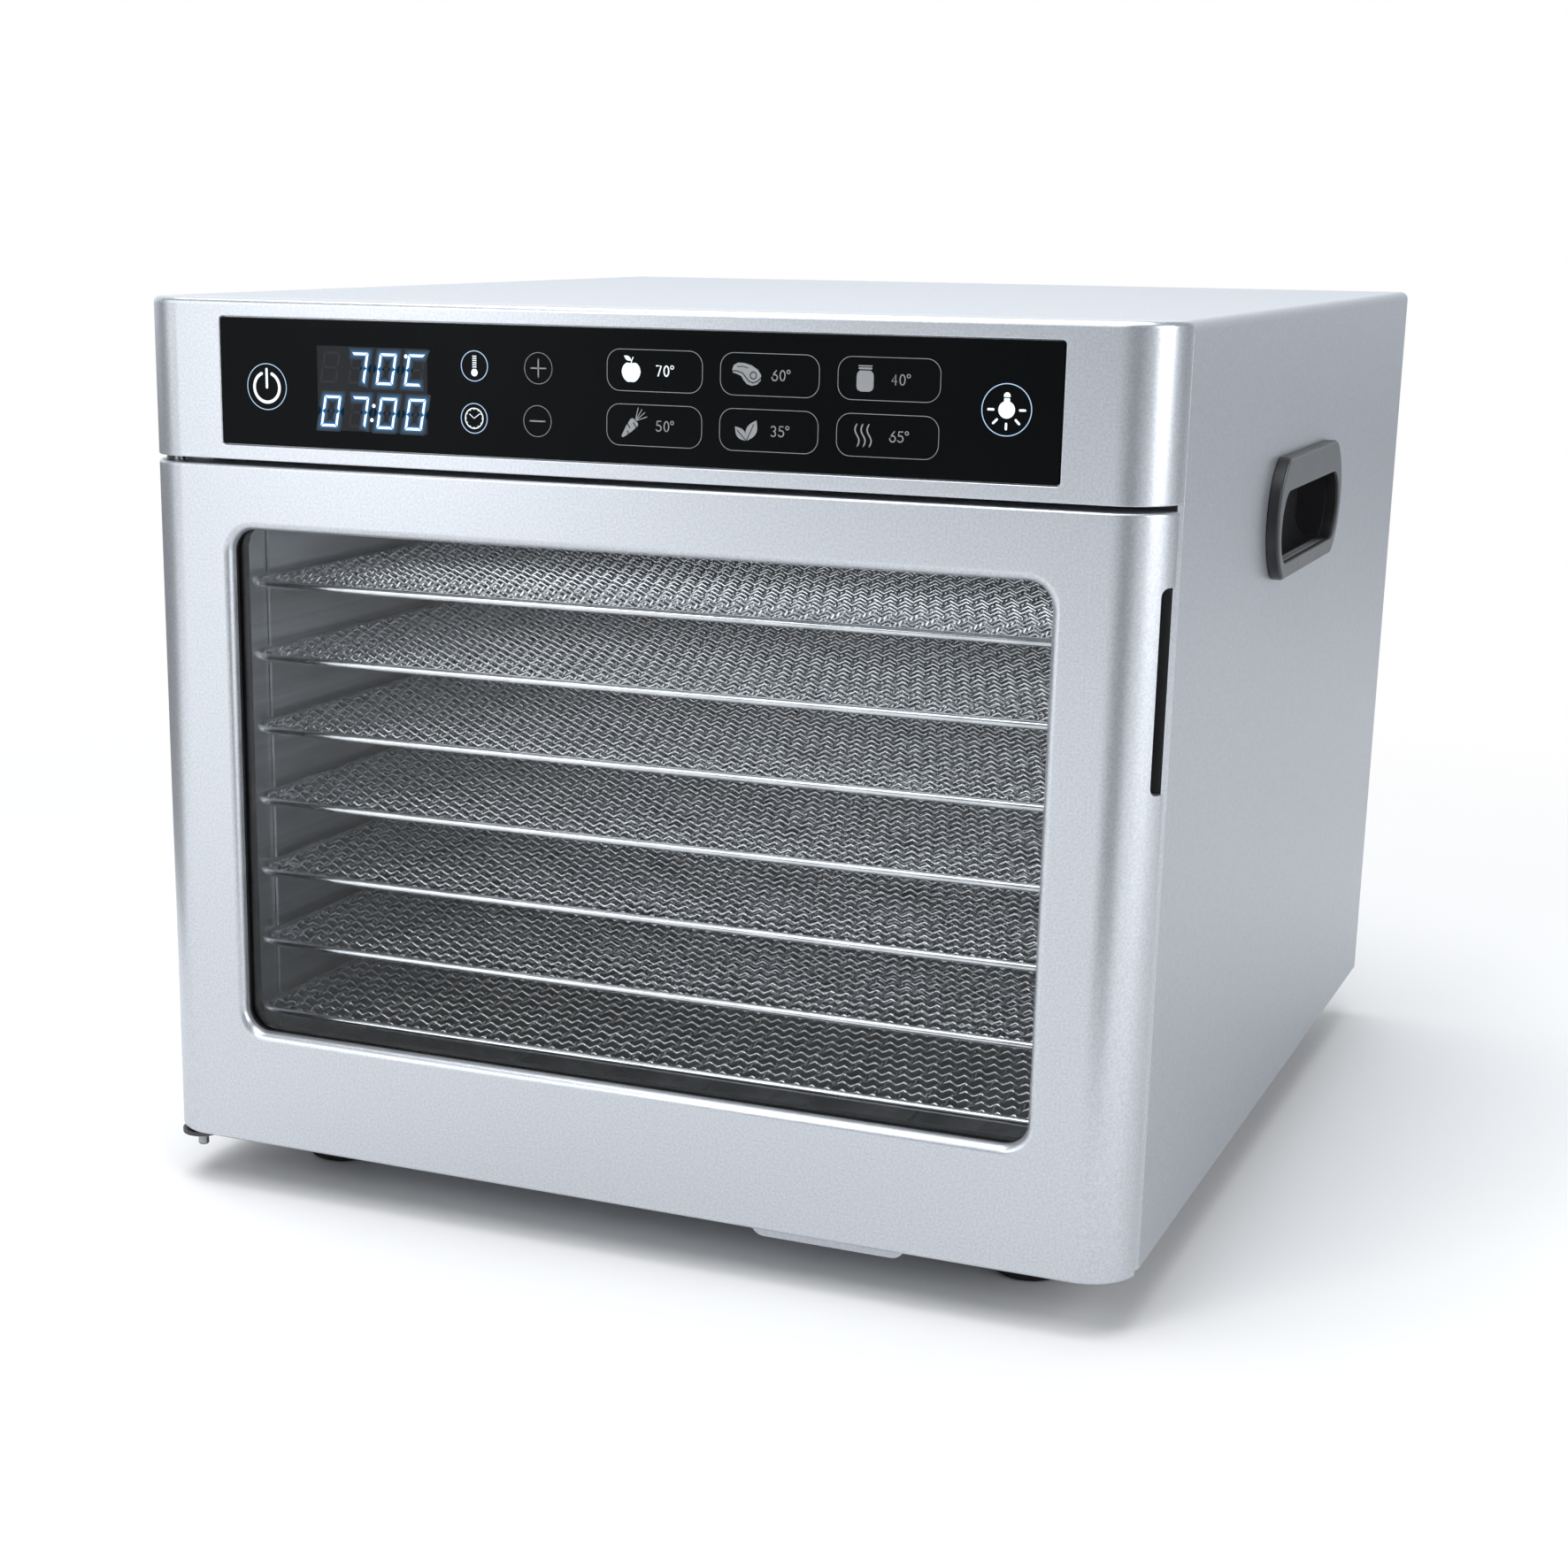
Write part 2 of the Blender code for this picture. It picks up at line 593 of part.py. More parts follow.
def make_heater_ring():
    """Round heating element with its two straight terminals through the shroud's side."""
    bm = bmesh.new()
    y = 148.0
    around, across = 36, 8
    rings = []
    for i in range(around):
        a = 2 * math.pi * i / around
        ring = []
        for j in range(across):
            b = 2 * math.pi * j / across
            r = HEATER_R + HEATER_TUBE_R * math.cos(b)
            point = (r * math.cos(a), y + HEATER_TUBE_R * math.sin(b), FAN_Z + r * math.sin(a))
            ring.append(bm.verts.new(Vector(point) * MM))
        rings.append(ring)
    for i in range(around):
        ring, after = rings[i], rings[(i + 1) % around]
        for j in range(across):
            k = (j + 1) % across
            bm.faces.new((ring[j], ring[k], after[k], after[j]))
    heater = add_object("heater_ring", bm)
    for i, x in enumerate((-12, 12)):
        terminal = turned(f"heater_terminal_{i}", [(2.4, y), (2.4, 163.0)], (x, FAN_Z + HEATER_R - 1.0),
                          "Y", 8)
        join(heater, terminal)
    return dress(heater, "dark_steel", smooth=True)


def make_fan():
    """Radial impeller and its shaft, both turning about the fan's axis."""
    pivot = bpy.data.objects.new("fan_axis", None)
    pivot.location = Vector((0, 150, FAN_Z)) * MM
    bpy.context.scene.collection.objects.link(pivot)
    blades = 8
    half = math.radians(1.1)
    outline = []
    for i in range(blades):
        angle = 2 * math.pi * i / blades
        root = math.asin(1.2 / HUB_R)
        for radius, offset in ((HUB_R, -root), (IMPELLER_R, -half), (IMPELLER_R, half), (HUB_R, root)):
            outline.append((radius * math.cos(angle + offset), FAN_Z + radius * math.sin(angle + offset)))
    bore = circle(0, FAN_Z, SHAFT_R + GAP, 12)
    origin = (0, 150, FAN_Z)
    impeller = prism("fan_impeller", [outline, bore], 142.0, 158.0, "Y", origin, pivot)
    dress(impeller, "dark_steel")
    profile = [(SHAFT_R, 139.0), (SHAFT_R, 182.0)]
    shaft = turned("fan_shaft", profile, (0, FAN_Z), "Y", 12, origin, pivot)
    dress(shaft, "bright_steel", smooth=True)


def make_fan_motor():
    motor = turned("fan_motor", [(MOTOR_R, MOTOR_FRONT_Y), (MOTOR_R, MOTOR_BACK_Y)], (0, FAN_Z), "Y", 24)
    bore = [(SHAFT_R + 0.5, MOTOR_FRONT_Y - 2), (SHAFT_R + 0.5, 184.0)]
    cut(motor, turned("motor_bore", bore, (0, FAN_Z), "Y", 12))
    dress(motor, "dark_steel", smooth=True)
    bar = rounded(-50, FAN_Z - 10, 50, FAN_Z + 10, 8, 3)
    bracket = prism("motor_bracket", [bar, circle(0, FAN_Z, 8, 12)], SHROUD_Y + 1.5, SHROUD_Y + 3.2, "Y")
    dress(bracket, "galvanised")


def make_thermal_cutout():
    profile = [(8.0, SHROUD_Y + 1.5), (8.0, SHROUD_Y + 6), (5.0, SHROUD_Y + 6.5), (5.0, SHROUD_Y + 14)]
    cutout = turned("thermal_cutout", profile, (70, 200), "Y", 14)
    return dress(cutout, "white_plastic", smooth=True)


# ---- door ----------------------------------------------------------------------------------

def make_door():
    """Everything that swings with the door, under an empty on the hinge axis."""
    pivot = bpy.data.objects.new("door_axis", None)
    pivot.location = Vector((PIVOT_X, PIVOT_Y, DOOR_LOW)) * MM
    bpy.context.scene.collection.objects.link(pivot)
    origin = (PIVOT_X, PIVOT_Y, DOOR_LOW)
    make_door_frame(origin, pivot)
    pane = rounded(*grown(WINDOW, GLASS_MARGIN - GAP), 6.0, 3)
    glass = prism("door_glass", [pane], GLASS_FRONT_Y, GLASS_BACK_Y, "Y", origin, pivot)
    dress(glass, "clear_glass")
    inside = rounded(*WINDOW, WINDOW_R, 4)
    front = FRONT_Y + WINDOW_LIP + WINDOW_WALL + GAP
    seal = prism("window_gasket", [pane, inside], front, GLASS_FRONT_Y - GAP, "Y", origin, pivot)
    dress(seal, "black_rubber")
    ring = [rectangle(-157.6, 30.4, 157.6, 245.6), rounded(*grown(WINDOW, 1.0), WINDOW_R, 3)]
    inner = prism("door_inner_frame", ring, GLASS_BACK_Y + GAP, DOOR_BACK_Y - 0.4, "Y", origin, pivot)
    dress(inner, "black_plastic")
    magnet = prism("door_magnet", [rectangle(160.3, 120.3, 165.7, 149.7)], -190.2, -187.0, "Y", origin, pivot)
    dress(magnet, "dark_steel")
    liner = prism("grip_liner", [rectangle(NOTCH_X + GAP, NOTCH_LOW + GAP, NOTCH_X + 1.5, NOTCH_HIGH - GAP)],
                  NOTCH_FRONT_Y + GAP, DOOR_BACK_Y - 0.4, "Y", origin, pivot)
    dress(liner, "black_plastic")
    make_bush("hinge_bush_lower", DOOR_LOW + 0.4, origin, pivot)
    make_bush("hinge_bush_upper", DOOR_HIGH - 0.4 - BUSH_LENGTH, origin, pivot)


def make_door_frame(origin, pivot):
    outline = bezel_outline(DOOR_BACK_Y)
    frame = prism("door_frame", [outline], DOOR_LOW, DOOR_HIGH, "Z", origin, pivot)
    window = rounded(*WINDOW, WINDOW_R)
    cut(frame, prism("window_cut", [window], FRONT_Y - 5, FRONT_Y + 20, "Y"))
    beyond = rounded(*grown(WINDOW, WINDOW_LIP + 1), WINDOW_R + WINDOW_LIP + 1)
    cut(frame, tapered("window_lip_cut", beyond, FRONT_Y - 1, window, FRONT_Y + WINDOW_LIP, "Y"))
    rebate = rounded(*grown(WINDOW, GLASS_MARGIN), 6.3, 3)
    shoulder = FRONT_Y + WINDOW_LIP + WINDOW_WALL
    cut(frame, prism("glass_rebate", [rebate], shoulder, FRONT_Y + 20, "Y"))
    pocket = rectangle(-158.0, 30.0, 158.0, 246.0)
    cut(frame, prism("inner_frame_pocket", [pocket], GLASS_BACK_Y, FRONT_Y + 20, "Y"))
    notch = rectangle(NOTCH_X, NOTCH_LOW, 190.0, NOTCH_HIGH)
    cut(frame, prism("finger_notch", [notch], NOTCH_FRONT_Y, FRONT_Y + 20, "Y"))
    seat = rectangle(160.0, 120.0, 166.0, 150.0)
    cut(frame, prism("magnet_seat", [seat], -190.5, FRONT_Y + 20, "Y"))
    hole_r = BUSH_R + GAP
    lower = [(hole_r, DOOR_LOW - 5), (hole_r, DOOR_LOW + 11)]
    cut(frame, turned("lower_bush_hole", lower, (PIVOT_X, PIVOT_Y), "Z", 14))
    upper = [(hole_r, DOOR_HIGH - 11), (hole_r, DOOR_HIGH + 5)]
    cut(frame, turned("upper_bush_hole", upper, (PIVOT_X, PIVOT_Y), "Z", 14))
    return dress(frame, "silver_paint", smooth=True)


def make_bush(name, low, origin, pivot):
    loops = [circle(PIVOT_X, PIVOT_Y, BUSH_R, 14), circle(PIVOT_X, PIVOT_Y, BUSH_HOLE_R, 14)]
    bush = prism(name, loops, low, low + BUSH_LENGTH, "Z", origin, pivot)
    dress(bush, "white_plastic", smooth=True)


def make_hinges():
    """The fixed half of both hinges: plates on the cabinet and the pins they carry."""
    hole = circle(PIVOT_X, PIVOT_Y, BUSH_HOLE_R, 12)
    nose = arc(PIVOT_X, PIVOT_Y, 7.2, 180, 360, 10)
    plan = nose + [(PIVOT_X + 7.2, -140.0), (PIVOT_X - 7.2, -140.0)]
    lower = prism("hinge_plate_lower", [plan, hole], 16.2, 17.8, "Z")
    pad = rectangle(PIVOT_X - 7, -178, PIVOT_X + 7, -142)
    join(lower, prism("hinge_pad", [pad], 17.0, FLOOR_Z - GAP, "Z"))
    dress(lower, "dark_steel")
    nose = arc(PIVOT_X, PIVOT_Y, 4.1, 90, 270, 8)
    plan = nose + [(PIVOT_X + 25, PIVOT_Y - 4.1), (PIVOT_X + 25, PIVOT_Y + 4.1)]
    upper = prism("hinge_plate_upper", [plan, hole], BEZEL_Z + 3.1, BEZEL_Z + 5.1, "Z")
    dress(upper, "dark_steel")
    centre = (PIVOT_X, PIVOT_Y)
    pin = [(PIN_R - 0.4, 11.2), (PIN_R, 11.6), (PIN_R, DOOR_LOW + 9.0)]
    dress(turned("hinge_pin_lower", pin, centre, "Z", 14), "bright_steel", smooth=True)
    head = BEZEL_Z + 5.4
    pin = [(PIN_R, DOOR_HIGH - 9), (PIN_R, head), (3.5, head), (3.5, head + 1.5)]
    dress(turned("hinge_pin_upper", pin, centre, "Z", 14), "bright_steel", smooth=True)
    strike = prism("door_strike", [rectangle(159, 118, 168, 152)], MOUTH_FRAME_Y + 0.1, MOUTH_FRAME_Y + 1.0, "Y")
    dress(strike, "bright_steel")


# ---- crumb tray ----------------------------------------------------------------------------

def make_crumb_tray():
    """Shallow pan under the floor; its flanges hang in the rails and a lip pulls it out."""
    origin = (0, SEAM_Y, CRUMB_HIGH)
    outline = rectangle(-CRUMB_HALF, SEAM_Y + 1, CRUMB_HALF, CRUMB_BACK_Y)
    tray = prism("crumb_tray", [outline], CRUMB_LOW, CRUMB_HIGH, "Z", origin)
    inset = rectangle(-CRUMB_HALF + CRUMB_WALL, SEAM_Y + 1 + CRUMB_WALL, CRUMB_HALF - CRUMB_WALL,
                      CRUMB_BACK_Y - CRUMB_WALL)
    flange = rectangle(-CRUMB_HALF - 6, SEAM_Y + 1, CRUMB_HALF + 6, CRUMB_BACK_Y)
    join(tray, prism("crumb_flange", [flange, inset], CRUMB_HIGH - 1.2, CRUMB_HIGH, "Z"))
    x0, low, x1 = PULL_BOX
    tongue = rectangle(x0, -188.0, x1, SEAM_Y + 1.5)
    join(tray, prism("pull_tongue", [tongue], CRUMB_HIGH - 1.2, CRUMB_HIGH, "Z"))
    corner = 4.5
    tab = [(x1, CRUMB_HIGH), (x0, CRUMB_HIGH)]
    tab += arc(x0 + corner, low + corner, corner, 180, 270, 4)
    tab += arc(x1 - corner, low + corner, corner, 270, 360, 4)
    join(tray, prism("pull_tab", [tab], -188.0, -187.0, "Y"))
    cut(tray, prism("crumb_hollow", [inset], CRUMB_LOW + CRUMB_WALL, CRUMB_HIGH + 5, "Z"))
    return dress(tray, "silver_paint")


def make_crumb_rail(name, side):
    """Bent strip under the floor that carries one flange of the crumb tray."""
    inner = CRUMB_HALF + 0.8
    web = CRUMB_HALF + 6.5
    lip_top = CRUMB_HIGH - 1.2 - 0.35
    section = [(inner, lip_top), (inner, lip_top - 1), (web + 1, lip_top - 1), (web + 1, FLOOR_Z - GAP)]
    section += [(web, FLOOR_Z - GAP), (web, lip_top)]
    rail = prism(name, [[(side * x, z) for x, z in section]], SEAM_Y + 2, CRUMB_BACK_Y + 5, "Y")
    return dress(rail, "galvanised")


# ---- screws --------------------------------------------------------------------------------

def make_screws():
    head_y = 196.0 + SHEET + GAP
    for i, (x, z) in enumerate(screw_places()):
        profile = [(1.7, 190.0), (1.7, head_y), (3.8, head_y), (3.4, head_y + 1.8), (1.5, head_y + 2.2)]
        screw = turned(f"rear_screw_{i + 1}", profile, (x, z), "Y", 10)
        dress(screw, "dark_steel", smooth=True)


def main():
    clear_scene()
    make_outer_shell()
    make_rear_frame()
    make_base_pan()
    make_rear_panel()
    make_inlet_socket()
    make_front_fascia()
    make_controls()
    make_power_board()
    make_hand_grip("hand_grip_left", -1)
    make_hand_grip("hand_grip_right", 1)
    make_feet()
    make_chamber_liner()
    make_rack("tray_rack_left", -1)
    make_rack("tray_rack_right", 1)
    for index in range(TRAY_COUNT):
        make_tray(index)
    make_rear_baffle()
    make_temp_sensor()
    make_lamp()
    make_fan_shroud()
    make_heater_ring()
    make_fan()
    make_fan_motor()
    make_thermal_cutout()
    make_door()
    make_hinges()
    make_crumb_tray()
    make_crumb_rail("crumb_rail_left", -1)
    make_crumb_rail("crumb_rail_right", 1)
    make_screws()


main()
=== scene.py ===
"""Looks of a cabinet food dehydrator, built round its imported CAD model."""
import json
import math

import bmesh
import bpy
from mathutils import Matrix, Vector


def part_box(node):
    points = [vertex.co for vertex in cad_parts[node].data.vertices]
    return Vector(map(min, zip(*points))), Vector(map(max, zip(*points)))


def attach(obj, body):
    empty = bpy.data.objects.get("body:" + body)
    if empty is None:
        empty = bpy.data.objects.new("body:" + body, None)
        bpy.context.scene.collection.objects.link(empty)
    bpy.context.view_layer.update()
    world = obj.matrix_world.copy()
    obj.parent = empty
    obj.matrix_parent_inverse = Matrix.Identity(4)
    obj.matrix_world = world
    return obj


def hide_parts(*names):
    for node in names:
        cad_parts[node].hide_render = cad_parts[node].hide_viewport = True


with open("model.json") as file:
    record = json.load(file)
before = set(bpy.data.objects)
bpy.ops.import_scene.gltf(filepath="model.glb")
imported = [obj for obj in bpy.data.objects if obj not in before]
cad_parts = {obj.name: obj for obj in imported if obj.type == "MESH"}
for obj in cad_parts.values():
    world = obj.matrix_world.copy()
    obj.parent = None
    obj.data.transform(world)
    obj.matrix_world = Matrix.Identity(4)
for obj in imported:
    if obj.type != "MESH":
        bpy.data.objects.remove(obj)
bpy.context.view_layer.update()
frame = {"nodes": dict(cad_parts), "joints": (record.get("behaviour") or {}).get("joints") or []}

MM = 0.001
NODES = frame["nodes"]

# Places read from the frame, in metres
SHELL_LO, SHELL_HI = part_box("outer_shell")
FASCIA_LO, FASCIA_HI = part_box("front_fascia")
DOOR_LO, DOOR_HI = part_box("door_frame")
GASKET_LO, GASKET_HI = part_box("window_gasket")
GLASS_LO, GLASS_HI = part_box("door_glass")
PANEL_LO, PANEL_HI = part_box("touch_glass")
LINER_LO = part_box("chamber_liner")[0]
FLOOR_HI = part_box("base_pan")[1]
PIVOT = next(Vector(joint["pos_m"]) for joint in frame["joints"] if joint["name"] == "door_hinge")

# Driving dimensions
HALF_WIDTH = SHELL_HI.x
FRONT_Y = FASCIA_LO.y
SEAM_Y = SHELL_LO.y
CORNER_R = SEAM_Y - FRONT_Y
DOOR_GAP = 1.8 * MM
BEZEL_LOW = DOOR_HI.z + DOOR_GAP
GAP = 0.3 * MM
SHEET = 1.5 * MM
GASKET_WIDTH = 6.2 * MM
WINDOW_LO = GASKET_LO + Vector((GASKET_WIDTH, 0, GASKET_WIDTH))
WINDOW_HI = GASKET_HI - Vector((GASKET_WIDTH, 0, GASKET_WIDTH))
WINDOW_R = 8.0 * MM
WINDOW_LIP = 3.0 * MM
BUSH_R = 3.5 * MM

# How far a cutting tool reaches past a piece, and how near a point counts as on a plane
PAST = 10 * MM
TOUCH = 1e-5

# Hand grips: half of the straight middle and the depth of the round ends, of cup and rim
GRIP_FLAT, GRIP_BULGE = 41 * MM, 12 * MM
RIM_FLAT, RIM_BULGE = 42 * MM, 14 * MM
GRIP_WALL = 2.4 * MM

# Frame round the chamber's mouth, its jambs and the bay for the control board above it
MOUTH_HALF, MOUTH_LOW, MOUTH_HIGH = 157.5 * MM, 28 * MM, 238 * MM
JAMB_HALF, JAMB_HIGH, JAMB_BACK = 173 * MM, 307 * MM, -176 * MM
BAY_HALF, BAY_LOW, BAY_HIGH = 168 * MM, 262 * MM, 304 * MM
FRAME_THICK, FRAME_BEVEL = 2.7 * MM, 1.2 * MM
GROOVE_R = 11.2 * MM


# ---- meshes ----

def arc(cx, cy, radius, start, end, steps):
    """Points of a circular arc, angles in degrees, both ends included."""
    points = []
    for i in range(steps + 1):
        angle = math.radians(start + (end - start) * i / steps)
        points.append((cx + radius * math.cos(angle), cy + radius * math.sin(angle)))
    return points


def circle(cx, cy, radius, steps=48):
    return arc(cx, cy, radius, 0.0, 360.0 - 360.0 / steps, steps - 1)


def rectangle(x0, y0, x1, y1):
    return [(x0, y0), (x1, y0), (x1, y1), (x0, y1)]


def rounded(x0, y0, x1, y1, radius, steps=10):
    points = arc(x1 - radius, y1 - radius, radius, 0, 90, steps)
    points += arc(x0 + radius, y1 - radius, radius, 90, 180, steps)
    points += arc(x0 + radius, y0 + radius, radius, 180, 270, steps)
    points += arc(x1 - radius, y0 + radius, radius, 270, 360, steps)
    return points


def bulged(centre, low, high, straight, bulge):
    """A flat-topped outline whose two ends are shallow circular arcs."""
    half = (high - low) / 2
    radius = (half * half + bulge * bulge) / (2 * bulge)
    swing = math.degrees(math.asin(half / radius))
    middle = (low + high) / 2
    offset = straight + bulge - radius
    points = arc(centre + offset, middle, radius, -swing, swing, 20)
    points += arc(centre - offset, middle, radius, 180 - swing, 180 + swing, 20)
    return points


def place(axis, u, v, w):
    """World point of a profile point (u, v) at height w along the axis."""
    if axis == "X":
        return Vector((w, u, v))
    if axis == "Y":
        return Vector((u, w, v))
    return Vector((u, v, w))


def link_object(name, data):
    obj = bpy.data.objects.new(name, data)
    bpy.context.scene.collection.objects.link(obj)
    return obj


def finish_mesh(name, bm):
    """Make a mesh of a bmesh, with every face turned outward."""
    bmesh.ops.recalc_face_normals(bm, faces=bm.faces)
    mesh = bpy.data.meshes.new(name)
    bm.to_mesh(mesh)
    bm.free()
    return mesh


def list_mesh(name, verts, faces):
    bm = bmesh.new()
    points = [bm.verts.new(vert) for vert in verts]
    for face in faces:
        bm.faces.new([points[i] for i in face])
    return finish_mesh(name, bm)


def prism(name, loops, low, high, axis):
    """A flat outline with holes, pushed from low to high along an axis."""
    bm = bmesh.new()
    for loop in loops:
        verts = [bm.verts.new(place(axis, u, v, low)) for u, v in loop]
        for i, vert in enumerate(verts):
            bm.edges.new((vert, verts[(i + 1) % len(verts)]))
    if len(loops) == 1:
        bm.faces.new(verts)
    else:
        bmesh.ops.triangle_fill(bm, use_beauty=True, edges=bm.edges)
    pushed = bmesh.ops.extrude_face_region(bm, geom=bm.faces[:], use_keep_orig=True)
    moved = [item for item in pushed["geom"] if isinstance(item, bmesh.types.BMVert)]
    bmesh.ops.translate(bm, vec=place(axis, 0, 0, high - low), verts=moved)
    return link_object(name, finish_mesh(name, bm))


def turned(name, profile, centre, axis, steps=48):
    """A closed round solid: profile lists (radius, height) from one end to the other."""
    bm = bmesh.new()
    rings = []
    for radius, height in profile:
        ring = circle(centre[0], centre[1], radius, steps)
        rings.append([bm.verts.new(place(axis, u, v, height)) for u, v in ring])
    bm.faces.new(rings[0])
    bm.faces.new(rings[-1])
    for below, above in zip(rings, rings[1:]):
        for i in range(steps):
            j = (i + 1) % steps
            bm.faces.new((below[i], below[j], above[j], above[i]))
    return link_object(name, finish_mesh(name, bm))


def bake(obj):
    """Replace an object's mesh by what its modifiers make of it."""
    graph = bpy.context.evaluated_depsgraph_get()
    mesh = bpy.data.meshes.new_from_object(obj.evaluated_get(graph))
    obj.modifiers.clear()
    obj.data = mesh


def combine(obj, tool, operation):
    """Cut, join or intersect an object with a tool, which is used up."""
    modifier = obj.modifiers.new("tool", "BOOLEAN")
    modifier.operation = operation
    modifier.object = tool
    bake(obj)
    bpy.data.objects.remove(tool)


def cut(obj, tool):
    combine(obj, tool, "DIFFERENCE")


def join(obj, tool):
    combine(obj, tool, "UNION")


def round_edges(obj, pick, width, segments):
    """Round every edge with a real angle whose middle point the test picks."""
    bm = bmesh.new()
    bm.from_mesh(obj.data)
    bmesh.ops.remove_doubles(bm, verts=bm.verts, dist=1e-7)
    bmesh.ops.dissolve_limit(bm, angle_limit=0.002, verts=bm.verts, edges=bm.edges)
    edges = []
    for edge in bm.edges:
        if len(edge.link_faces) != 2:
            continue
        if edge.calc_face_angle(0.0) < math.radians(25):
            continue
        if pick((edge.verts[0].co + edge.verts[1].co) / 2):
            edges.append(edge)
    bmesh.ops.bevel(bm, geom=edges, offset=width, segments=segments, profile=0.5,
                    affect="EDGES", clamp_overlap=True)
    bm.to_mesh(obj.data)
    bm.free()


def smooth(obj):
    """Smooth shading that keeps the flat faces flat and the sharp edges sharp."""
    obj.data.shade_smooth()
    obj.data.set_sharp_from_angle(angle=math.radians(32))
    modifier = obj.modifiers.new("weighted", "WEIGHTED_NORMAL")
    modifier.keep_sharp = True
    return obj


def on_front(p, lo, hi, margin=2 * MM):
    """Whether a point lies on the front face and within a margin of a box."""
    across = lo.x - margin < p.x < hi.x + margin
    return abs(p.y - FRONT_Y) < TOUCH and across and lo.z - margin < p.z < hi.z + margin


def seat_outline(node, gap=GAP):
    """Outline, seen from the front, of the pocket that a node sits in."""
    lo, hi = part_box(node)
    return rectangle(lo.x - gap, lo.z - gap, hi.x + gap, hi.z + gap)


def dress(obj, material, body, stands_for=()):
    """Give a new piece its material, its body and the nodes it stands for."""
    obj.data.materials.clear()
    obj.data.materials.append(material)
    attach(obj, body)
    if stands_for:
        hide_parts(*stands_for)


# ---- materials ----

def shader_node(tree, kind, *sources, operation=None):
    """Add a node whose first inputs are fed by the given outputs."""
    node = tree.nodes.new(kind)
    if operation:
        node.operation = operation
    for source, socket in zip(sources, node.inputs):
        tree.links.new(source, socket)
    return node


def maths(tree, operation, *sources):
    return shader_node(tree, "ShaderNodeMath", *sources, operation=operation).outputs["Value"]


def map_range(tree, value, source, target=(0.0, 1.0), curve="LINEAR"):
    node = shader_node(tree, "ShaderNodeMapRange", value)
    node.interpolation_type = curve
    for socket, limit in zip(("From Min", "From Max", "To Min", "To Max"), (*source, *target)):
        node.inputs[socket].default_value = limit
    return node.outputs["Result"]


def colour_ramp(tree, factor, low, dark, high, light):
    ramp = shader_node(tree, "ShaderNodeValToRGB", factor)
    for element, position, colour in zip(ramp.color_ramp.elements, (low, high), (dark, light)):
        element.position = position
        element.color = (*colour, 1.0)
    return ramp.outputs["Color"]


class Finish:
    """A Principled material with helpers for the few nodes that the finishes share."""

    def __init__(self, name, colour, roughness, metallic=0.0, specular=0.5):
        self.material = bpy.data.materials.new(name)
        self.material.use_nodes = True
        self.tree = self.material.node_tree
        self.shader = self.tree.nodes["Principled BSDF"]
        self.shader.inputs["Base Color"].default_value = (*colour, 1.0)
        self.shader.inputs["Roughness"].default_value = roughness
        self.shader.inputs["Metallic"].default_value = metallic
        self.shader.inputs["Specular IOR Level"].default_value = specular

    def noise(self, scale, detail=2.0, stretch=(1, 1, 1)):
        coords = shader_node(self.tree, "ShaderNodeTexCoord")
        mapping = shader_node(self.tree, "ShaderNodeMapping", coords.outputs["Object"])
        mapping.inputs["Scale"].default_value = stretch
        noise = shader_node(self.tree, "ShaderNodeTexNoise", mapping.outputs["Vector"])
        noise.inputs["Scale"].default_value = scale
        noise.inputs["Detail"].default_value = detail
        return noise.outputs["Fac"]

    def colours(self, factor, dark, light, low=0.3, high=0.7):
        colour = colour_ramp(self.tree, factor, low, dark, high, light)
        self.tree.links.new(colour, self.shader.inputs["Base Color"])

    def roughness(self, factor, low, high):
        ranged = map_range(self.tree, factor, (0.3, 0.7), (low, high))
        self.tree.links.new(ranged, self.shader.inputs["Roughness"])

    def bump(self, factor, strength, distance):
        bump = shader_node(self.tree, "ShaderNodeBump")
        bump.inputs["Strength"].default_value = strength
        bump.inputs["Distance"].default_value = distance
        self.tree.links.new(factor, bump.inputs["Height"])
        self.tree.links.new(bump.outputs["Normal"], self.shader.inputs["Normal"])


def silver_paint(name, dark, light, roughness):
    """Metallic paint: tiny flakes in the colour, a faint orange-peel surface."""
    finish = Finish(name, light, roughness, metallic=0.82)
    flakes = finish.noise(1300.0, 1.0)
    finish.colours(flakes, dark, light, 0.32, 0.68)
    finish.roughness(finish.noise(900.0, 1.0), roughness - 0.02, roughness + 0.03)
    finish.bump(finish.noise(700.0, 1.0), 0.06, 0.00003)
    return finish.material


def steel(name, dark, light, low, high, stretch):
    """Bright steel with drawn or rolled streaks along one direction."""
    finish = Finish(name, light, low, metallic=1.0)
    streaks = finish.noise(60.0, 4.0, stretch)
    finish.colours(streaks, dark, light)
    finish.roughness(streaks, low, high)
    finish.bump(streaks, 0.08, 0.00003)
    return finish.material


def moulded(name, dark, light, low, high, grain=1200.0, specular=0.5):
    """Moulded plastic or rubber with a fine spark-eroded grain."""
    finish = Finish(name, light, low, specular=specular)
    finish.colours(finish.noise(40.0, 3.0), dark, light)
    grained = finish.noise(grain, 2.0)
    finish.roughness(grained, low, high)
    finish.bump(grained, 0.25, 0.00005)
    return finish.material


def panel_glass():
    """Back-printed black glass: deep colour, faint smears in its gloss."""
    finish = Finish("black_panel_glass", (0.003, 0.003, 0.004), 0.28, specular=0.05)
    finish.colours(finish.noise(12.0, 2.0), (0.0025, 0.003, 0.0035), (0.0035, 0.004, 0.005))
    finish.roughness(finish.noise(25.0, 4.0), 0.24, 0.32)
    return finish.material


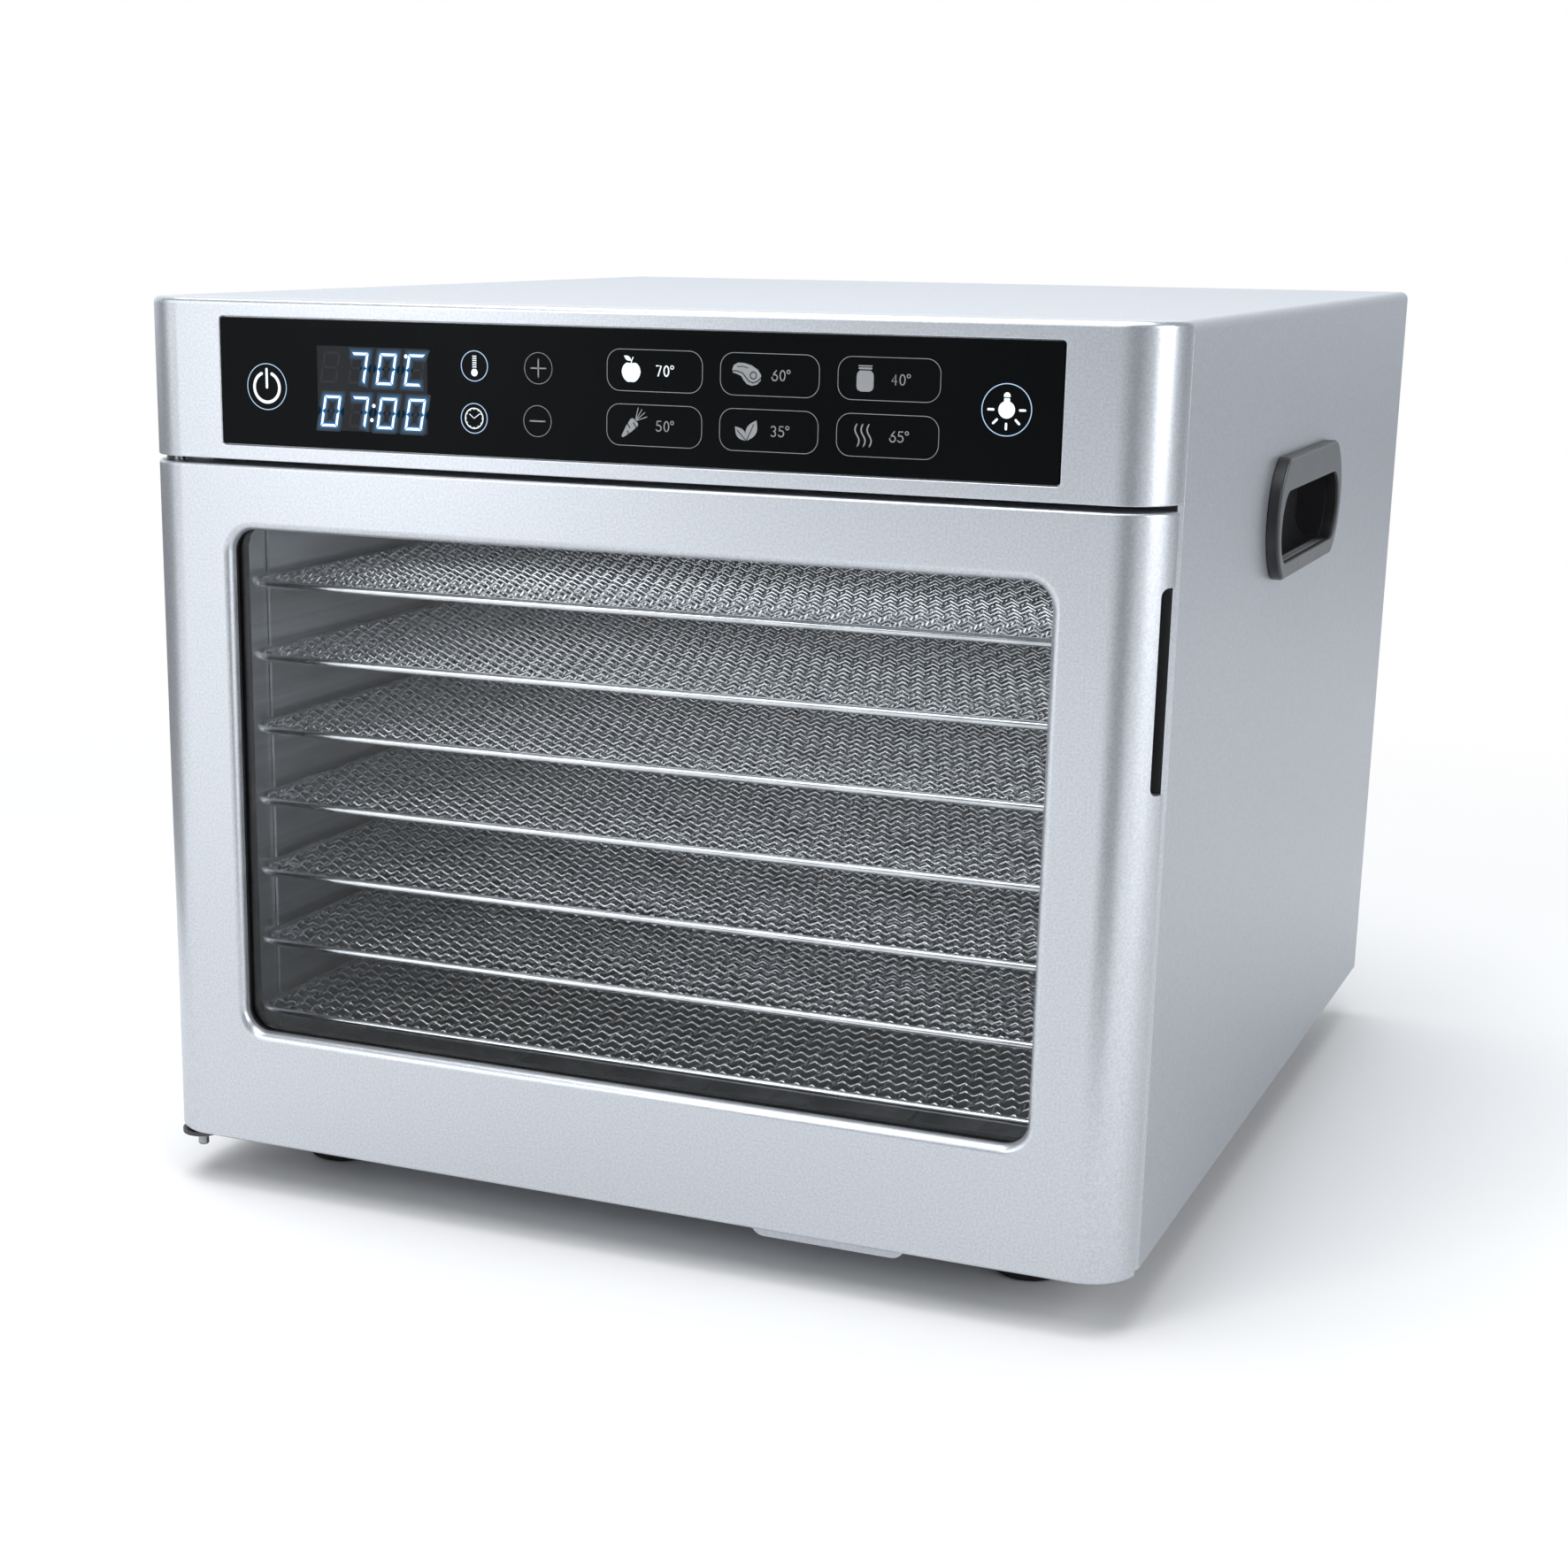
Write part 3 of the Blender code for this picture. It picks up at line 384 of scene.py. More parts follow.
def clear_glass():
    """Flat clear glass: see-through, with a mirror film that grows at grazing angles."""
    material = bpy.data.materials.new("clear_door_glass")
    material.use_nodes = True
    tree = material.node_tree
    tree.nodes.clear()
    through = shader_node(tree, "ShaderNodeBsdfTransparent")
    through.inputs["Color"].default_value = (0.97, 0.98, 0.985, 1.0)
    gloss = shader_node(tree, "ShaderNodeBsdfGlossy")
    gloss.inputs["Roughness"].default_value = 0.10
    fresnel = shader_node(tree, "ShaderNodeFresnel")
    fresnel.inputs["IOR"].default_value = 1.45
    geometry = shader_node(tree, "ShaderNodeNewGeometry")
    outside = shader_node(tree, "ShaderNodeMath", operation="SUBTRACT")
    outside.inputs[0].default_value = 1.0
    tree.links.new(geometry.outputs["Backfacing"], outside.inputs[1])
    film = maths(tree, "MULTIPLY", fresnel.outputs["Fac"], outside.outputs["Value"])
    mix = shader_node(tree, "ShaderNodeMixShader", film, through.outputs["BSDF"], gloss.outputs["BSDF"])
    shader_node(tree, "ShaderNodeOutputMaterial", mix.outputs["Shader"])
    return material


def glowing(name, colour, strength):
    finish = Finish(name, (0.01, 0.01, 0.01), 0.6)
    finish.shader.inputs["Emission Color"].default_value = (*colour, 1.0)
    finish.shader.inputs["Emission Strength"].default_value = strength
    return finish.material


SILVER_FRONT = silver_paint("silver_front_paint", (0.57, 0.595, 0.635), (0.67, 0.70, 0.745), 0.31)
SILVER_SHEET = silver_paint("silver_sheet_paint", (0.535, 0.56, 0.605), (0.615, 0.645, 0.695), 0.38)
WIRE = steel("bright_wire", (0.62, 0.63, 0.65), (0.86, 0.87, 0.88), 0.16, 0.28, (1, 1, 1))
LINER_STEEL = steel("rolled_liner_steel", (0.62, 0.64, 0.67), (0.76, 0.78, 0.80), 0.34, 0.48, (1, 0.05, 8))
ZINC = steel("zinc_sheet", (0.40, 0.42, 0.44), (0.56, 0.58, 0.60), 0.35, 0.5, (3, 3, 3))
PIN_STEEL = steel("turned_pin_steel", (0.30, 0.31, 0.32), (0.42, 0.43, 0.44), 0.25, 0.35, (2, 2, 12))
DARK_STEEL = steel("dark_steel", (0.07, 0.07, 0.075), (0.13, 0.13, 0.14), 0.35, 0.5, (4, 4, 4))
BLACK = moulded("black_moulding", (0.010, 0.010, 0.011), (0.018, 0.018, 0.02), 0.30, 0.42)
# The grip's face is a lighter grey than its black body: a painted reflection on the glossy black plastic.
GRIP_FACE_SHEEN = moulded("grip_face_painted_sheen", (0.085, 0.09, 0.096), (0.10, 0.105, 0.112), 0.32, 0.40)
# Dark grey: the grip liner's own colour, and painted shade on the mouth frame's face behind the door.
DARK_GREY_AND_GAP_SHADE = moulded("dark_grey_moulding_and_gap_shade", (0.020, 0.021, 0.023), (0.028, 0.030, 0.032), 0.38, 0.48)
RUBBER = moulded("black_rubber", (0.008, 0.008, 0.008), (0.016, 0.016, 0.016), 0.6, 0.75, 900.0, 0.3)
WHITE = moulded("white_moulding", (0.70, 0.70, 0.68), (0.80, 0.80, 0.78), 0.4, 0.5)
BOARD = moulded("green_board", (0.015, 0.10, 0.04), (0.03, 0.17, 0.07), 0.35, 0.5, 400.0)
PANEL = panel_glass()
CLEAR = clear_glass()


# ---- cabinet ----

def wrap_outline(half, low, high, wall, bend):
    """Section of a sheet bent down over the left side, the top and the right side."""
    outer = [(-half, low)]
    outer += arc(-half + bend, high - bend, bend, 180, 90, 8)
    outer += arc(half - bend, high - bend, bend, 90, 0, 8)
    outer += [(half, low)]
    inner = [(half - wall, low)]
    inner += arc(half - bend, high - bend, bend - wall, 0, 90, 8)
    inner += arc(-half + bend, high - bend, bend - wall, 90, 180, 8)
    inner += [(-half + wall, low)]
    return outer + inner


def make_shell():
    """Sheet wrapped over the left side, the top and the right side, open for the hand grips."""
    section = wrap_outline(HALF_WIDTH, SHELL_LO.z, SHELL_HI.z, SHEET, 3 * MM)
    shell = prism("cabinet_shell", [section], SEAM_Y, SHELL_HI.y, "Y")
    grip_lo, grip_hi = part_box("hand_grip_right")
    plan = grip_plan((grip_lo.y + grip_hi.y) / 2, grip_lo.z, grip_hi.z, 0)
    cut(shell, prism("grip_cut", [plan], -HALF_WIDTH - PAST, HALF_WIDTH + PAST, "X"))
    ends = (SEAM_Y, SHELL_HI.y)
    round_edges(shell, lambda p: min(abs(p.y - y) for y in ends) < TOUCH, 0.45 * MM, 4)
    dress(smooth(shell), SILVER_SHEET, "cabinet", ["outer_shell"])


def front_outline(back_y):
    """Plan of the front mouldings: square at the back, round at the two front edges."""
    centre = HALF_WIDTH - CORNER_R
    reach = math.degrees(math.asin((SEAM_Y - back_y) / CORNER_R))
    points = arc(-centre, SEAM_Y, CORNER_R, 180 + reach, 270, 24)
    points += arc(centre, SEAM_Y, CORNER_R, 270, 360 - reach, 24)
    return points


def hollow_outline():
    """Plan of the space inside the bezel: an even wall round the two front corners."""
    centre, radius, depth = HALF_WIDTH - CORNER_R, CORNER_R - 1.6 * MM, 12.5 * MM
    low = math.degrees(math.acos(depth / radius))
    high = math.degrees(math.asin(depth / radius))
    points = [(-centre - depth, SEAM_Y + 0.01)]
    points += arc(-centre, SEAM_Y, radius, 180 + low, 180 + high, 6)
    points += arc(centre, SEAM_Y, radius, 360 - high, 360 - low, 6)
    points += [(centre + depth, SEAM_Y + 0.01)]
    return points


def make_bezel():
    """Hollow moulding across the top of the front, recessed for the touch glass."""
    back_y = SEAM_Y - GAP
    bezel = prism("top_bezel", [front_outline(back_y)], BEZEL_LOW, FASCIA_HI.z, "Z")
    round_edges(bezel, lambda p: p.y < back_y - TOUCH and p.z > FASCIA_HI.z - TOUCH, 2.0 * MM, 6)
    round_edges(bezel, lambda p: p.y < back_y - TOUCH and p.z < BEZEL_LOW + TOUCH, 0.4 * MM, 3)
    cut(bezel, prism("hollow", [hollow_outline()], BEZEL_LOW + 2.8 * MM, FASCIA_HI.z - 2.5 * MM, "Z"))
    fit = 0.35 * MM
    recess = rounded(PANEL_LO.x - fit, PANEL_LO.z - fit, PANEL_HI.x + fit, PANEL_HI.z + fit, 1.2 * MM, 5)
    cut(bezel, prism("recess", [recess], FRONT_Y - PAST, FRONT_Y + 2.2 * MM, "Y"))
    round_edges(bezel, lambda p: on_front(p, PANEL_LO, PANEL_HI), 0.35 * MM, 3)
    port = seat_outline("touch_glass", -4 * MM)
    cut(bezel, prism("port", [port], FRONT_Y + 1 * MM, FRONT_Y + PAST, "Y"))
    dress(smooth(bezel), SILVER_FRONT, "cabinet", ["front_fascia"])


def make_mouth_frame():
    """Frame round the chamber's mouth, with the hollow groove that the door's edge turns in, and painted
    shade on its face behind the door.
    """
    back_y = SEAM_Y - GAP
    front_y = back_y - FRAME_THICK
    mouth = rounded(-MOUTH_HALF, MOUTH_LOW, MOUTH_HALF, MOUTH_HIGH, 3 * MM, 5)
    face = rectangle(-HALF_WIDTH, SHELL_LO.z, HALF_WIDTH, BEZEL_LOW - 0.1 * MM)
    surround = prism("mouth_frame", [face, mouth], front_y, back_y, "Y")
    jamb = rectangle(-JAMB_HALF, FLOOR_HI.z + 0.5 * MM, JAMB_HALF, JAMB_HIGH)
    bay = rectangle(-BAY_HALF, BAY_LOW, BAY_HALF, BAY_HIGH)
    join(surround, prism("jamb", [jamb, mouth, bay], back_y - 1 * MM, JAMB_BACK, "Y"))
    groove = [(GROOVE_R, 10 * MM), (GROOVE_R, BEZEL_LOW - 0.6 * MM)]
    cut(surround, turned("groove", groove, (PIVOT.x, PIVOT.y), "Z", 96))
    for side in (-1, 1):
        start, clear = side * (HALF_WIDTH - FRAME_BEVEL), side * (HALF_WIDTH + PAST)
        bevel = [(start, front_y), (start, front_y - MM), (clear, front_y - MM), (clear, back_y),
                 (side * HALF_WIDTH, back_y)]
        cut(surround, prism("bevel", [bevel], 0.0, BEZEL_LOW + MM, "Z"))
    strike_lo, strike_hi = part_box("door_strike")
    seat = seat_outline("door_strike")
    cut(surround, prism("seat", [seat], strike_lo.y - 2 * MM, strike_hi.y + GAP, "Y"))
    dress(smooth(surround), SILVER_FRONT, "cabinet", ["front_fascia"])
    # The frame's face that lies behind the door gets the dark grey: painted shade for the narrow gaps round
    # the door, on a frame that is silver.
    surround.data.materials.append(DARK_GREY_AND_GAP_SHADE)
    for polygon in surround.data.polygons:
        if polygon.normal.y < -0.9 and polygon.center.y < front_y + 0.2 * MM:
            polygon.material_index = 1


def make_hand_grip(name, side, node):
    """Raised face in a lighter grey, a painted sheen on the glossy black plastic, black body round it and
    the black cup behind.
    """
    lo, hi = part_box(node)
    middle = (lo.y + hi.y) / 2
    skin = side * HALF_WIDTH
    outer_x = side * max(abs(lo.x), abs(hi.x))
    deep, clear = side * (HALF_WIDTH - 35 * MM), side * (HALF_WIDTH + 15 * MM)
    ends = (middle - 70 * MM, middle + 70 * MM)
    rim = bulged(middle, lo.z, hi.z, RIM_FLAT, RIM_BULGE)
    body = prism(name + "_body", [rim], skin + side * GAP, outer_x - side * 0.7 * MM, "X")
    outer, inner = grip_section(side)
    cup = prism("cup", [outer], *ends, "Y")
    plan = grip_plan(middle, lo.z, hi.z, 0.6 * MM)
    combine(cup, prism("plan", [plan], deep, clear, "X"), "INTERSECT")
    join(body, cup)
    hollow = prism("hollow", [inner], *ends, "Y")
    plan = grip_plan(middle, lo.z, hi.z, GRIP_WALL)
    combine(hollow, prism("plan", [plan], deep, skin + side * 0.5 * MM, "X"), "INTERSECT")
    cut(body, hollow)
    cut(body, prism("mouth", [grip_mouth(middle, lo.z, hi.z, 0)], skin - side * 0.4 * MM, clear, "X"))
    round_edges(body, lambda p: abs(p.x) > abs(outer_x) - 0.8 * MM, 0.5 * MM, 3)
    dress(smooth(body), BLACK, "cabinet", [node])
    # The face plate is grey as a painted sheen on the glossy black plastic of the grip.
    inset = 0.45 * MM
    outline = bulged(middle, lo.z + inset, hi.z - inset, RIM_FLAT - inset * 0.4, RIM_BULGE - inset * 0.6)
    mouth = grip_mouth(middle, lo.z, hi.z, inset * 0.2)
    face = prism(name + "_face", [outline, mouth], outer_x - side * 0.75 * MM, outer_x, "X")
    round_edges(face, lambda p: abs(p.x - outer_x) < TOUCH / 10, 0.4 * MM, 3)
    dress(smooth(face), GRIP_FACE_SHEEN, "cabinet", [node])


def grip_plan(middle, low, high, inset):
    """Outline of the grip's cup, a wall inside the rim and a further inset in from there."""
    step = GRIP_WALL + inset
    return bulged(middle, low + step, high - step, GRIP_FLAT - inset, GRIP_BULGE)


def grip_mouth(middle, low, high, grow):
    """Outline of the opening in the grip's face, which is wider above than below."""
    return bulged(middle, low + 5.5 * MM - grow, high - 11.1 * MM + grow, GRIP_FLAT, 10.5 * MM + grow)


def grip_section(side):
    """Cup of a hand grip, seen along Y in mm: shallow below, hooked up behind the face above."""
    outer = [(177, 215), (163.4, 215), (162.6, 226), (162.6, 240.8), (149, 240.8), (149, 265), (177, 265)]
    inner = [(183, 225), (173, 225)]
    inner += arc(173, 233.4, 8.4, 270, 180, 8)
    inner += [(164.6, 242.8), (151, 242.8), (151, 255.4), (174.5, 255.4), (174.5, 249.3), (183, 249.3)]
    return [[(side * x * MM, z * MM) for x, z in points] for points in (outer, inner)]


def make_feet():
    """Rubber feet: a rounded sole and a slightly wider collar under the cabinet."""
    bend, collar = 2 * MM, 9 * MM
    for node in sorted(name for name in NODES if name.startswith("foot_")):
        lo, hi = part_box(node)
        radius = (hi.x - lo.x) / 2
        centre = ((lo.x + hi.x) / 2, (lo.y + hi.y) / 2)
        waist = radius - 0.2 * MM
        profile = arc(waist - bend, lo.z + bend, bend, -90, 0, 6)
        profile += [(radius - 0.4 * MM, collar - 1 * MM), (radius, collar), (radius, hi.z)]
        foot = turned(node + "_rubber", profile, centre, "Z", 48)
        dress(smooth(foot), RUBBER, "cabinet", [node])


# ---- door ----

def window_outline():
    return rounded(WINDOW_LO.x, WINDOW_LO.z, WINDOW_HI.x, WINDOW_HI.z, WINDOW_R, 12)


def make_door():
    """Door moulding with its window lip and the pockets for glass, frame, grip, magnet and bushes."""
    back_y, behind = DOOR_HI.y, FRONT_Y + 30 * MM
    door = prism("door_front", [front_outline(back_y)], DOOR_LO.z, DOOR_HI.z, "Z")
    round_edges(door, lambda p: p.y < back_y - TOUCH, 1.1 * MM, 5)
    cut(door, prism("window", [window_outline()], FRONT_Y - PAST, behind, "Y"))
    round_edges(door, lambda p: on_front(p, WINDOW_LO, WINDOW_HI), WINDOW_LIP, 8)
    rebate = rounded(GLASS_LO.x - GAP, GLASS_LO.z - GAP, GLASS_HI.x + GAP, GLASS_HI.z + GAP, 6 * MM, 4)
    cut(door, prism("rebate", [rebate], GASKET_LO.y - GAP, behind, "Y"))
    pocket = seat_outline("door_inner_frame", 0.4 * MM)
    cut(door, prism("pocket", [pocket], GLASS_HI.y, behind, "Y"))
    grip_lo, grip_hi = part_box("grip_liner")
    notch = rounded(grip_lo.y - GAP, grip_lo.z - GAP, behind + PAST, grip_hi.z + GAP, 2.4 * MM, 6)
    cut(door, prism("notch", [notch], grip_lo.x - GAP, HALF_WIDTH + PAST, "X"))
    magnet_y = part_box("door_magnet")[0].y
    cut(door, prism("seat", [seat_outline("door_magnet")], magnet_y - GAP, behind, "Y"))
    for node in ("hinge_bush_lower", "hinge_bush_upper"):
        lo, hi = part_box(node)
        hole = [(BUSH_R, lo.z - 1.5 * MM), (BUSH_R, hi.z + 1.5 * MM)]
        cut(door, turned("hole", hole, (PIVOT.x, PIVOT.y), "Z", 32))
    dress(smooth(door), SILVER_FRONT, "door", ["door_frame"])


def make_gasket():
    """Black seal between the frame's shoulder and the glass, flush with the opening."""
    outer = rounded(GASKET_LO.x, GASKET_LO.z, GASKET_HI.x, GASKET_HI.z, 6 * MM, 6)
    gasket = prism("window_seal", [outer, window_outline()], GASKET_LO.y, GASKET_HI.y, "Y")
    dress(smooth(gasket), RUBBER, "door", ["window_gasket"])


# ---- trays ----

TRAY_BEND = 12 * MM
WIRE_PITCH = 8.0 * MM
WIRE_R = 0.45 * MM
CRIMP = 0.72 * MM
CRIMPS_PER_PITCH = 1.5
SAMPLES_PER_CRIMP = 4


def tube(verts, faces, path, frames, radius, sides, closed=False):
    """Append a tube: one ring of points round each path point, caps on an open one."""
    start = len(verts)
    for point, (side, up) in zip(path, frames):
        for k in range(sides):
            angle = 2 * math.pi * (k + 0.5) / sides
            verts.append(point + side * (radius * math.cos(angle)) + up * (radius * math.sin(angle)))
    rings = len(path)
    for i in range(rings if closed else rings - 1):
        a = start + i * sides
        b = start + ((i + 1) % rings) * sides
        for k in range(sides):
            n = (k + 1) % sides
            faces.append((a + k, a + n, b + n, b + k))
    if not closed:
        faces.append(tuple(start + k for k in reversed(range(sides))))
        last = start + (rings - 1) * sides
        faces.append(tuple(last + k for k in range(sides)))


def wire_reach(across, half_across, half_along, corner):
    """How far a wire runs before it meets the rim, which has round corners."""
    into = corner - (half_across - abs(across))
    if into <= 0:
        return half_along
    return half_along - corner + math.sqrt(max(corner * corner - into * into, 0))


def add_rim(verts, faces, rect, corner, rod, up):
    """The rod round a tray, bent at its four corners."""
    x0, y0, x1, y1 = rect
    path, frames = [], []
    for cx, cy, start in ((x1 - corner, y1 - corner, 0), (x0 + corner, y1 - corner, 90),
                          (x0 + corner, y0 + corner, 180), (x1 - corner, y0 + corner, 270)):
        for angle in range(start, start + 91, 9):
            out = Vector((math.cos(math.radians(angle)), math.sin(math.radians(angle)), 0))
            path.append(Vector((cx, cy, 0)) + out * corner)
            frames.append((out, up))
    tube(verts, faces, path, frames, rod, 14, closed=True)


def woven_tray_mesh(lo, hi):
    """One tray: a round rim rod and two layers of crimped wires, woven over and under."""
    verts, faces = [], []
    rod = (hi.z - lo.z) / 2
    up = Vector((0, 0, 1))
    rect = lo.x + rod, lo.y + rod, hi.x - rod, hi.y - rod
    corner = TRAY_BEND - rod
    add_rim(verts, faces, rect, corner, rod, up)
    wave = 2 * math.pi * CRIMPS_PER_PITCH / WIRE_PITCH
    step = WIRE_PITCH / CRIMPS_PER_PITCH / SAMPLES_PER_CRIMP
    mid_y = (rect[1] + rect[3]) / 2
    half_x, half_y = rect[2], rect[3] - mid_y
    for axis, half_along, half_across in (("x", half_x, half_y), ("y", half_y, half_x)):
        count = int((half_across - 0.5 * MM) / WIRE_PITCH)
        for j in range(-count, count + 1):
            across = j * WIRE_PITCH
            limit = wire_reach(across, half_across, half_along, corner)
            steps = int(limit / step)
            sign, beside = (1, Vector((0, 1, 0))) if axis == "x" else (-1, Vector((1, 0, 0)))
            path = []
            for i in range(-steps, steps + 1):
                along = i * step
                height = sign * CRIMP * math.cos(wave * along + math.pi * j)
                fade = min(1.0, (limit - abs(along)) / (3 * MM) + 0.3)
                spot = (along, mid_y + across) if axis == "x" else (across, mid_y + along)
                path.append(Vector((*spot, height * fade)))
            tube(verts, faces, path, [(beside, up)] * len(path), WIRE_R, 4)
    mesh = list_mesh("woven_tray", verts, faces)
    mesh.shade_smooth()
    mesh.materials.append(WIRE)
    return mesh


def make_trays():
    """Seven trays that share one mesh."""
    nodes = sorted(node for node in NODES if node.startswith("tray_") and node[5:].isdigit())
    lo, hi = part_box(nodes[0])
    mesh = woven_tray_mesh(lo, hi)
    for node in nodes:
        lo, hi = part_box(node)
        tray = link_object(node + "_woven", mesh)
        tray.location = (0, 0, (lo.z + hi.z) / 2)
        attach(tray, node)
        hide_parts(node)


# ---- control panel ----

class Marks:
    """Thin flat shapes on the panel glass, gathered into one mesh."""

    def __init__(self, lift, thickness=0.03 * MM):
        self.front = PANEL_LO.y - lift
        self.back = self.front + thickness
        self.verts = []
        self.faces = []

    def blob(self, points):
        start, n = len(self.verts), len(points)
        self.verts += [(x * MM, self.front, z * MM) for x, z in points]
        self.verts += [(x * MM, self.back, z * MM) for x, z in points]
        self.faces.append(tuple(range(start, start + n)))
        self.faces.append(tuple(reversed(range(start + n, start + 2 * n))))
        for i in range(n):
            j = (i + 1) % n
            self.faces.append((start + i, start + n + i, start + n + j, start + j))

    def line(self, points, width, closed=False, caps=True):
        """A ribbon of even width along the points."""
        n = len(points)
        left, right = [], []
        for i, (x, z) in enumerate(points):
            before = points[i - 1] if closed or i else points[0]
            after = points[(i + 1) % n] if closed or i < n - 1 else points[-1]
            dx, dz = after[0] - before[0], after[1] - before[1]
            length = math.hypot(dx, dz)
            nx, nz = -dz / length * width / 2, dx / length * width / 2
            left.append((x + nx, z + nz))
            right.append((x - nx, z - nz))
        for i in range(n if closed else n - 1):
            j = (i + 1) % n
            self.blob([left[i], left[j], right[j], right[i]])
        if caps and not closed:
            for x, z in (points[0], points[-1]):
                self.blob(circle(x, z, width / 2, 12))

    def ring(self, x, z, radius, width):
        self.line(circle(x, z, radius, 56), width, closed=True)

    def build(self, name, material):
        obj = link_object(name, list_mesh(name, self.verts, self.faces))
        dress(obj, material, "cabinet")


# Places and sizes of the panel's marks, in mm: x across and z up, as in the frame
SEGMENTS = {"0": "abcdef", "7": "abc", "8": "abcdefg", "C": "adef"}
DIGIT_W, DIGIT_H, DIGIT_SLANT, DIGIT_PITCH, DIGIT_LINE = 5.4, 9.1, 0.18, 10.35, 0.8
ROW_TOP, ROW_LOW, DIGIT_X = 283.6, 269.75, -103.7
DISPLAY = (-105.0, 268.2, -64.7, 294.9)
DISPLAY_DOTS = ((-84.25, 276.5), (-85.05, 272.0), (-72.3, 292.4))
POWER_AT, BULB_AT = (-124.2, 281.2), (125.6, 283.2)
THERMOMETER_AT, CLOCK_AT = (-47.8, 290.2), (-48.0, 274.0)
PLUS_AT, MINUS_AT = (-25.4, 290.2), (-25.7, 274.0)
FIELD_X, FIELD_Z, FIELD_W, FIELD_H, FIELD_R = -1.8, 284.4, 31.8, 12.5, 4.3
COLUMN_PITCH, ROW_PITCH = 37.7, 16.5
THIN, RING = 0.17, 0.26


def digit_bar(key, x, z, grow=0.0):
    """Outline of one bar of a seven-bar digit whose lower left corner is (x, z)."""
    w, h, half = DIGIT_W, DIGIT_H, DIGIT_LINE / 2
    end, mid = 0.22, 0.5
    ends = {
        "a": ((end, h), (w - end, h), 1), "d": ((end, 0), (w - end, 0), -1),
        "f": ((0, h / 2 + mid), (0, h - end), 1), "e": ((0, end), (0, h / 2 - mid), 1),
        "b": ((w, h / 2 + mid), (w, h - end), -1), "c": ((w, end), (w, h / 2 - mid), -1),
        "g": ((mid, h / 2), (w - mid, h / 2), 0),
    }[key]
    start, stop, out = ends
    length = math.dist(start, stop)
    du, dv = (stop[0] - start[0]) / length, (stop[1] - start[1]) / length
    reach, side = half * out, half + grow
    bar = []
    for (u, v), along, across in ((start, -reach - grow, side), (stop, reach + grow, side),
                                  (stop, grow - reach, -side), (start, reach - grow, -side)):
        u, v = u + du * along - dv * across, v + dv * along + du * across
        bar.append((x + u + v * DIGIT_SLANT, z + v))
    return bar


def display_bars(lit, grow=0.0):
    """Outlines of the lit or unlit bars of the two-row display, a temperature above a time."""
    bars = []
    for z, text in ((ROW_TOP, " 70C"), (ROW_LOW, "0700")):
        for i, letter in enumerate(text):
            for key in "abcdefg":
                if (key in SEGMENTS.get(letter, "")) == lit:
                    bars.append(digit_bar(key, DIGIT_X + i * DIGIT_PITCH, z, grow))
    return bars


def turned_points(points, x, z, angle, scale=1.0):
    """Icon points turned by an angle in degrees and moved to (x, z)."""
    c, s = math.cos(math.radians(angle)) * scale, math.sin(math.radians(angle)) * scale
    return [(x + u * c - v * s, z + u * s + v * c) for u, v in points]


def leaf(length, width):
    """A leaf with two pointed ends, lying along +X from its foot."""
    side = [(length * i / 12, width / 2 * math.sin(math.pi * i / 12)) for i in range(13)]
    return side + [(u, -v) for u, v in reversed(side[1:-1])]


# An icon is drawn with its middle at (x, z): light shapes go to marks, dark lines across them to gaps

def draw_apple(marks, gaps, x, z):
    points = []
    for i in range(48):
        angle = 2 * math.pi * i / 48
        top = math.exp(-((angle - math.pi / 2) / 0.40) ** 2)
        foot = math.exp(-((angle - 3 * math.pi / 2) / 0.30) ** 2)
        narrow = 1 - 0.10 * max(0.0, -math.sin(angle))
        radius = 3.15 * (1 - 0.22 * top - 0.10 * foot)
        points.append((x + narrow * radius * math.cos(angle), z - 0.5 + 1.04 * radius * math.sin(angle)))
    marks.blob(points)
    marks.line([(x - 0.1, z + 1.9), (x + 0.2, z + 3.0), (x + 0.6, z + 3.9)], 0.32)
    marks.blob(turned_points(leaf(2.9, 1.3), x + 0.1, z + 2.9, 150))


def draw_steak(marks, gaps, x, z):
    shape = [(-4.7, 1.2), (-4.2, 2.6), (-2.8, 3.4), (-0.6, 3.3), (1.6, 2.7), (3.6, 1.5), (4.7, 0.0),
             (4.6, -1.7), (3.4, -2.9), (1.7, -3.3), (0.1, -2.8), (-0.9, -1.7), (-1.7, -0.5), (-3.2, 0.1),
             (-4.4, 0.4)]
    marks.blob([(x + u, z + v) for u, v in shape])
    rim = [(-4.9, 0.95), (-3.2, 0.95), (-1.3, 0.4), (-0.2, -0.9), (0.8, -2.0), (2.2, -2.45), (3.6, -1.9),
           (4.9, -0.7)]
    gaps.line([(x + u, z + v) for u, v in rim], 0.30, caps=False)
    gaps.line([(x - 3.0, z + 2.2), (x - 1.2, z + 2.35), (x + 0.4, z + 1.9)], 0.22)
    gaps.ring(x + 2.2, z - 0.25, 1.0, 0.30)


def draw_jar(marks, gaps, x, z):
    body = [(-1.7, 2.35), (-2.5, 1.6), (-2.65, 0.6), (-2.65, -2.4), (-2.3, -3.3), (-1.3, -3.75),
            (1.3, -3.75), (2.3, -3.3), (2.65, -2.4), (2.65, 0.6), (2.5, 1.6), (1.7, 2.35)]
    marks.blob([(x + u, z + v) for u, v in body])
    marks.blob(rounded(x - 2.15, z + 2.7, x + 2.15, z + 3.25, 0.25, 3))
    marks.blob(rounded(x - 2.2, z + 3.5, x + 2.2, z + 3.85, 0.15, 3))


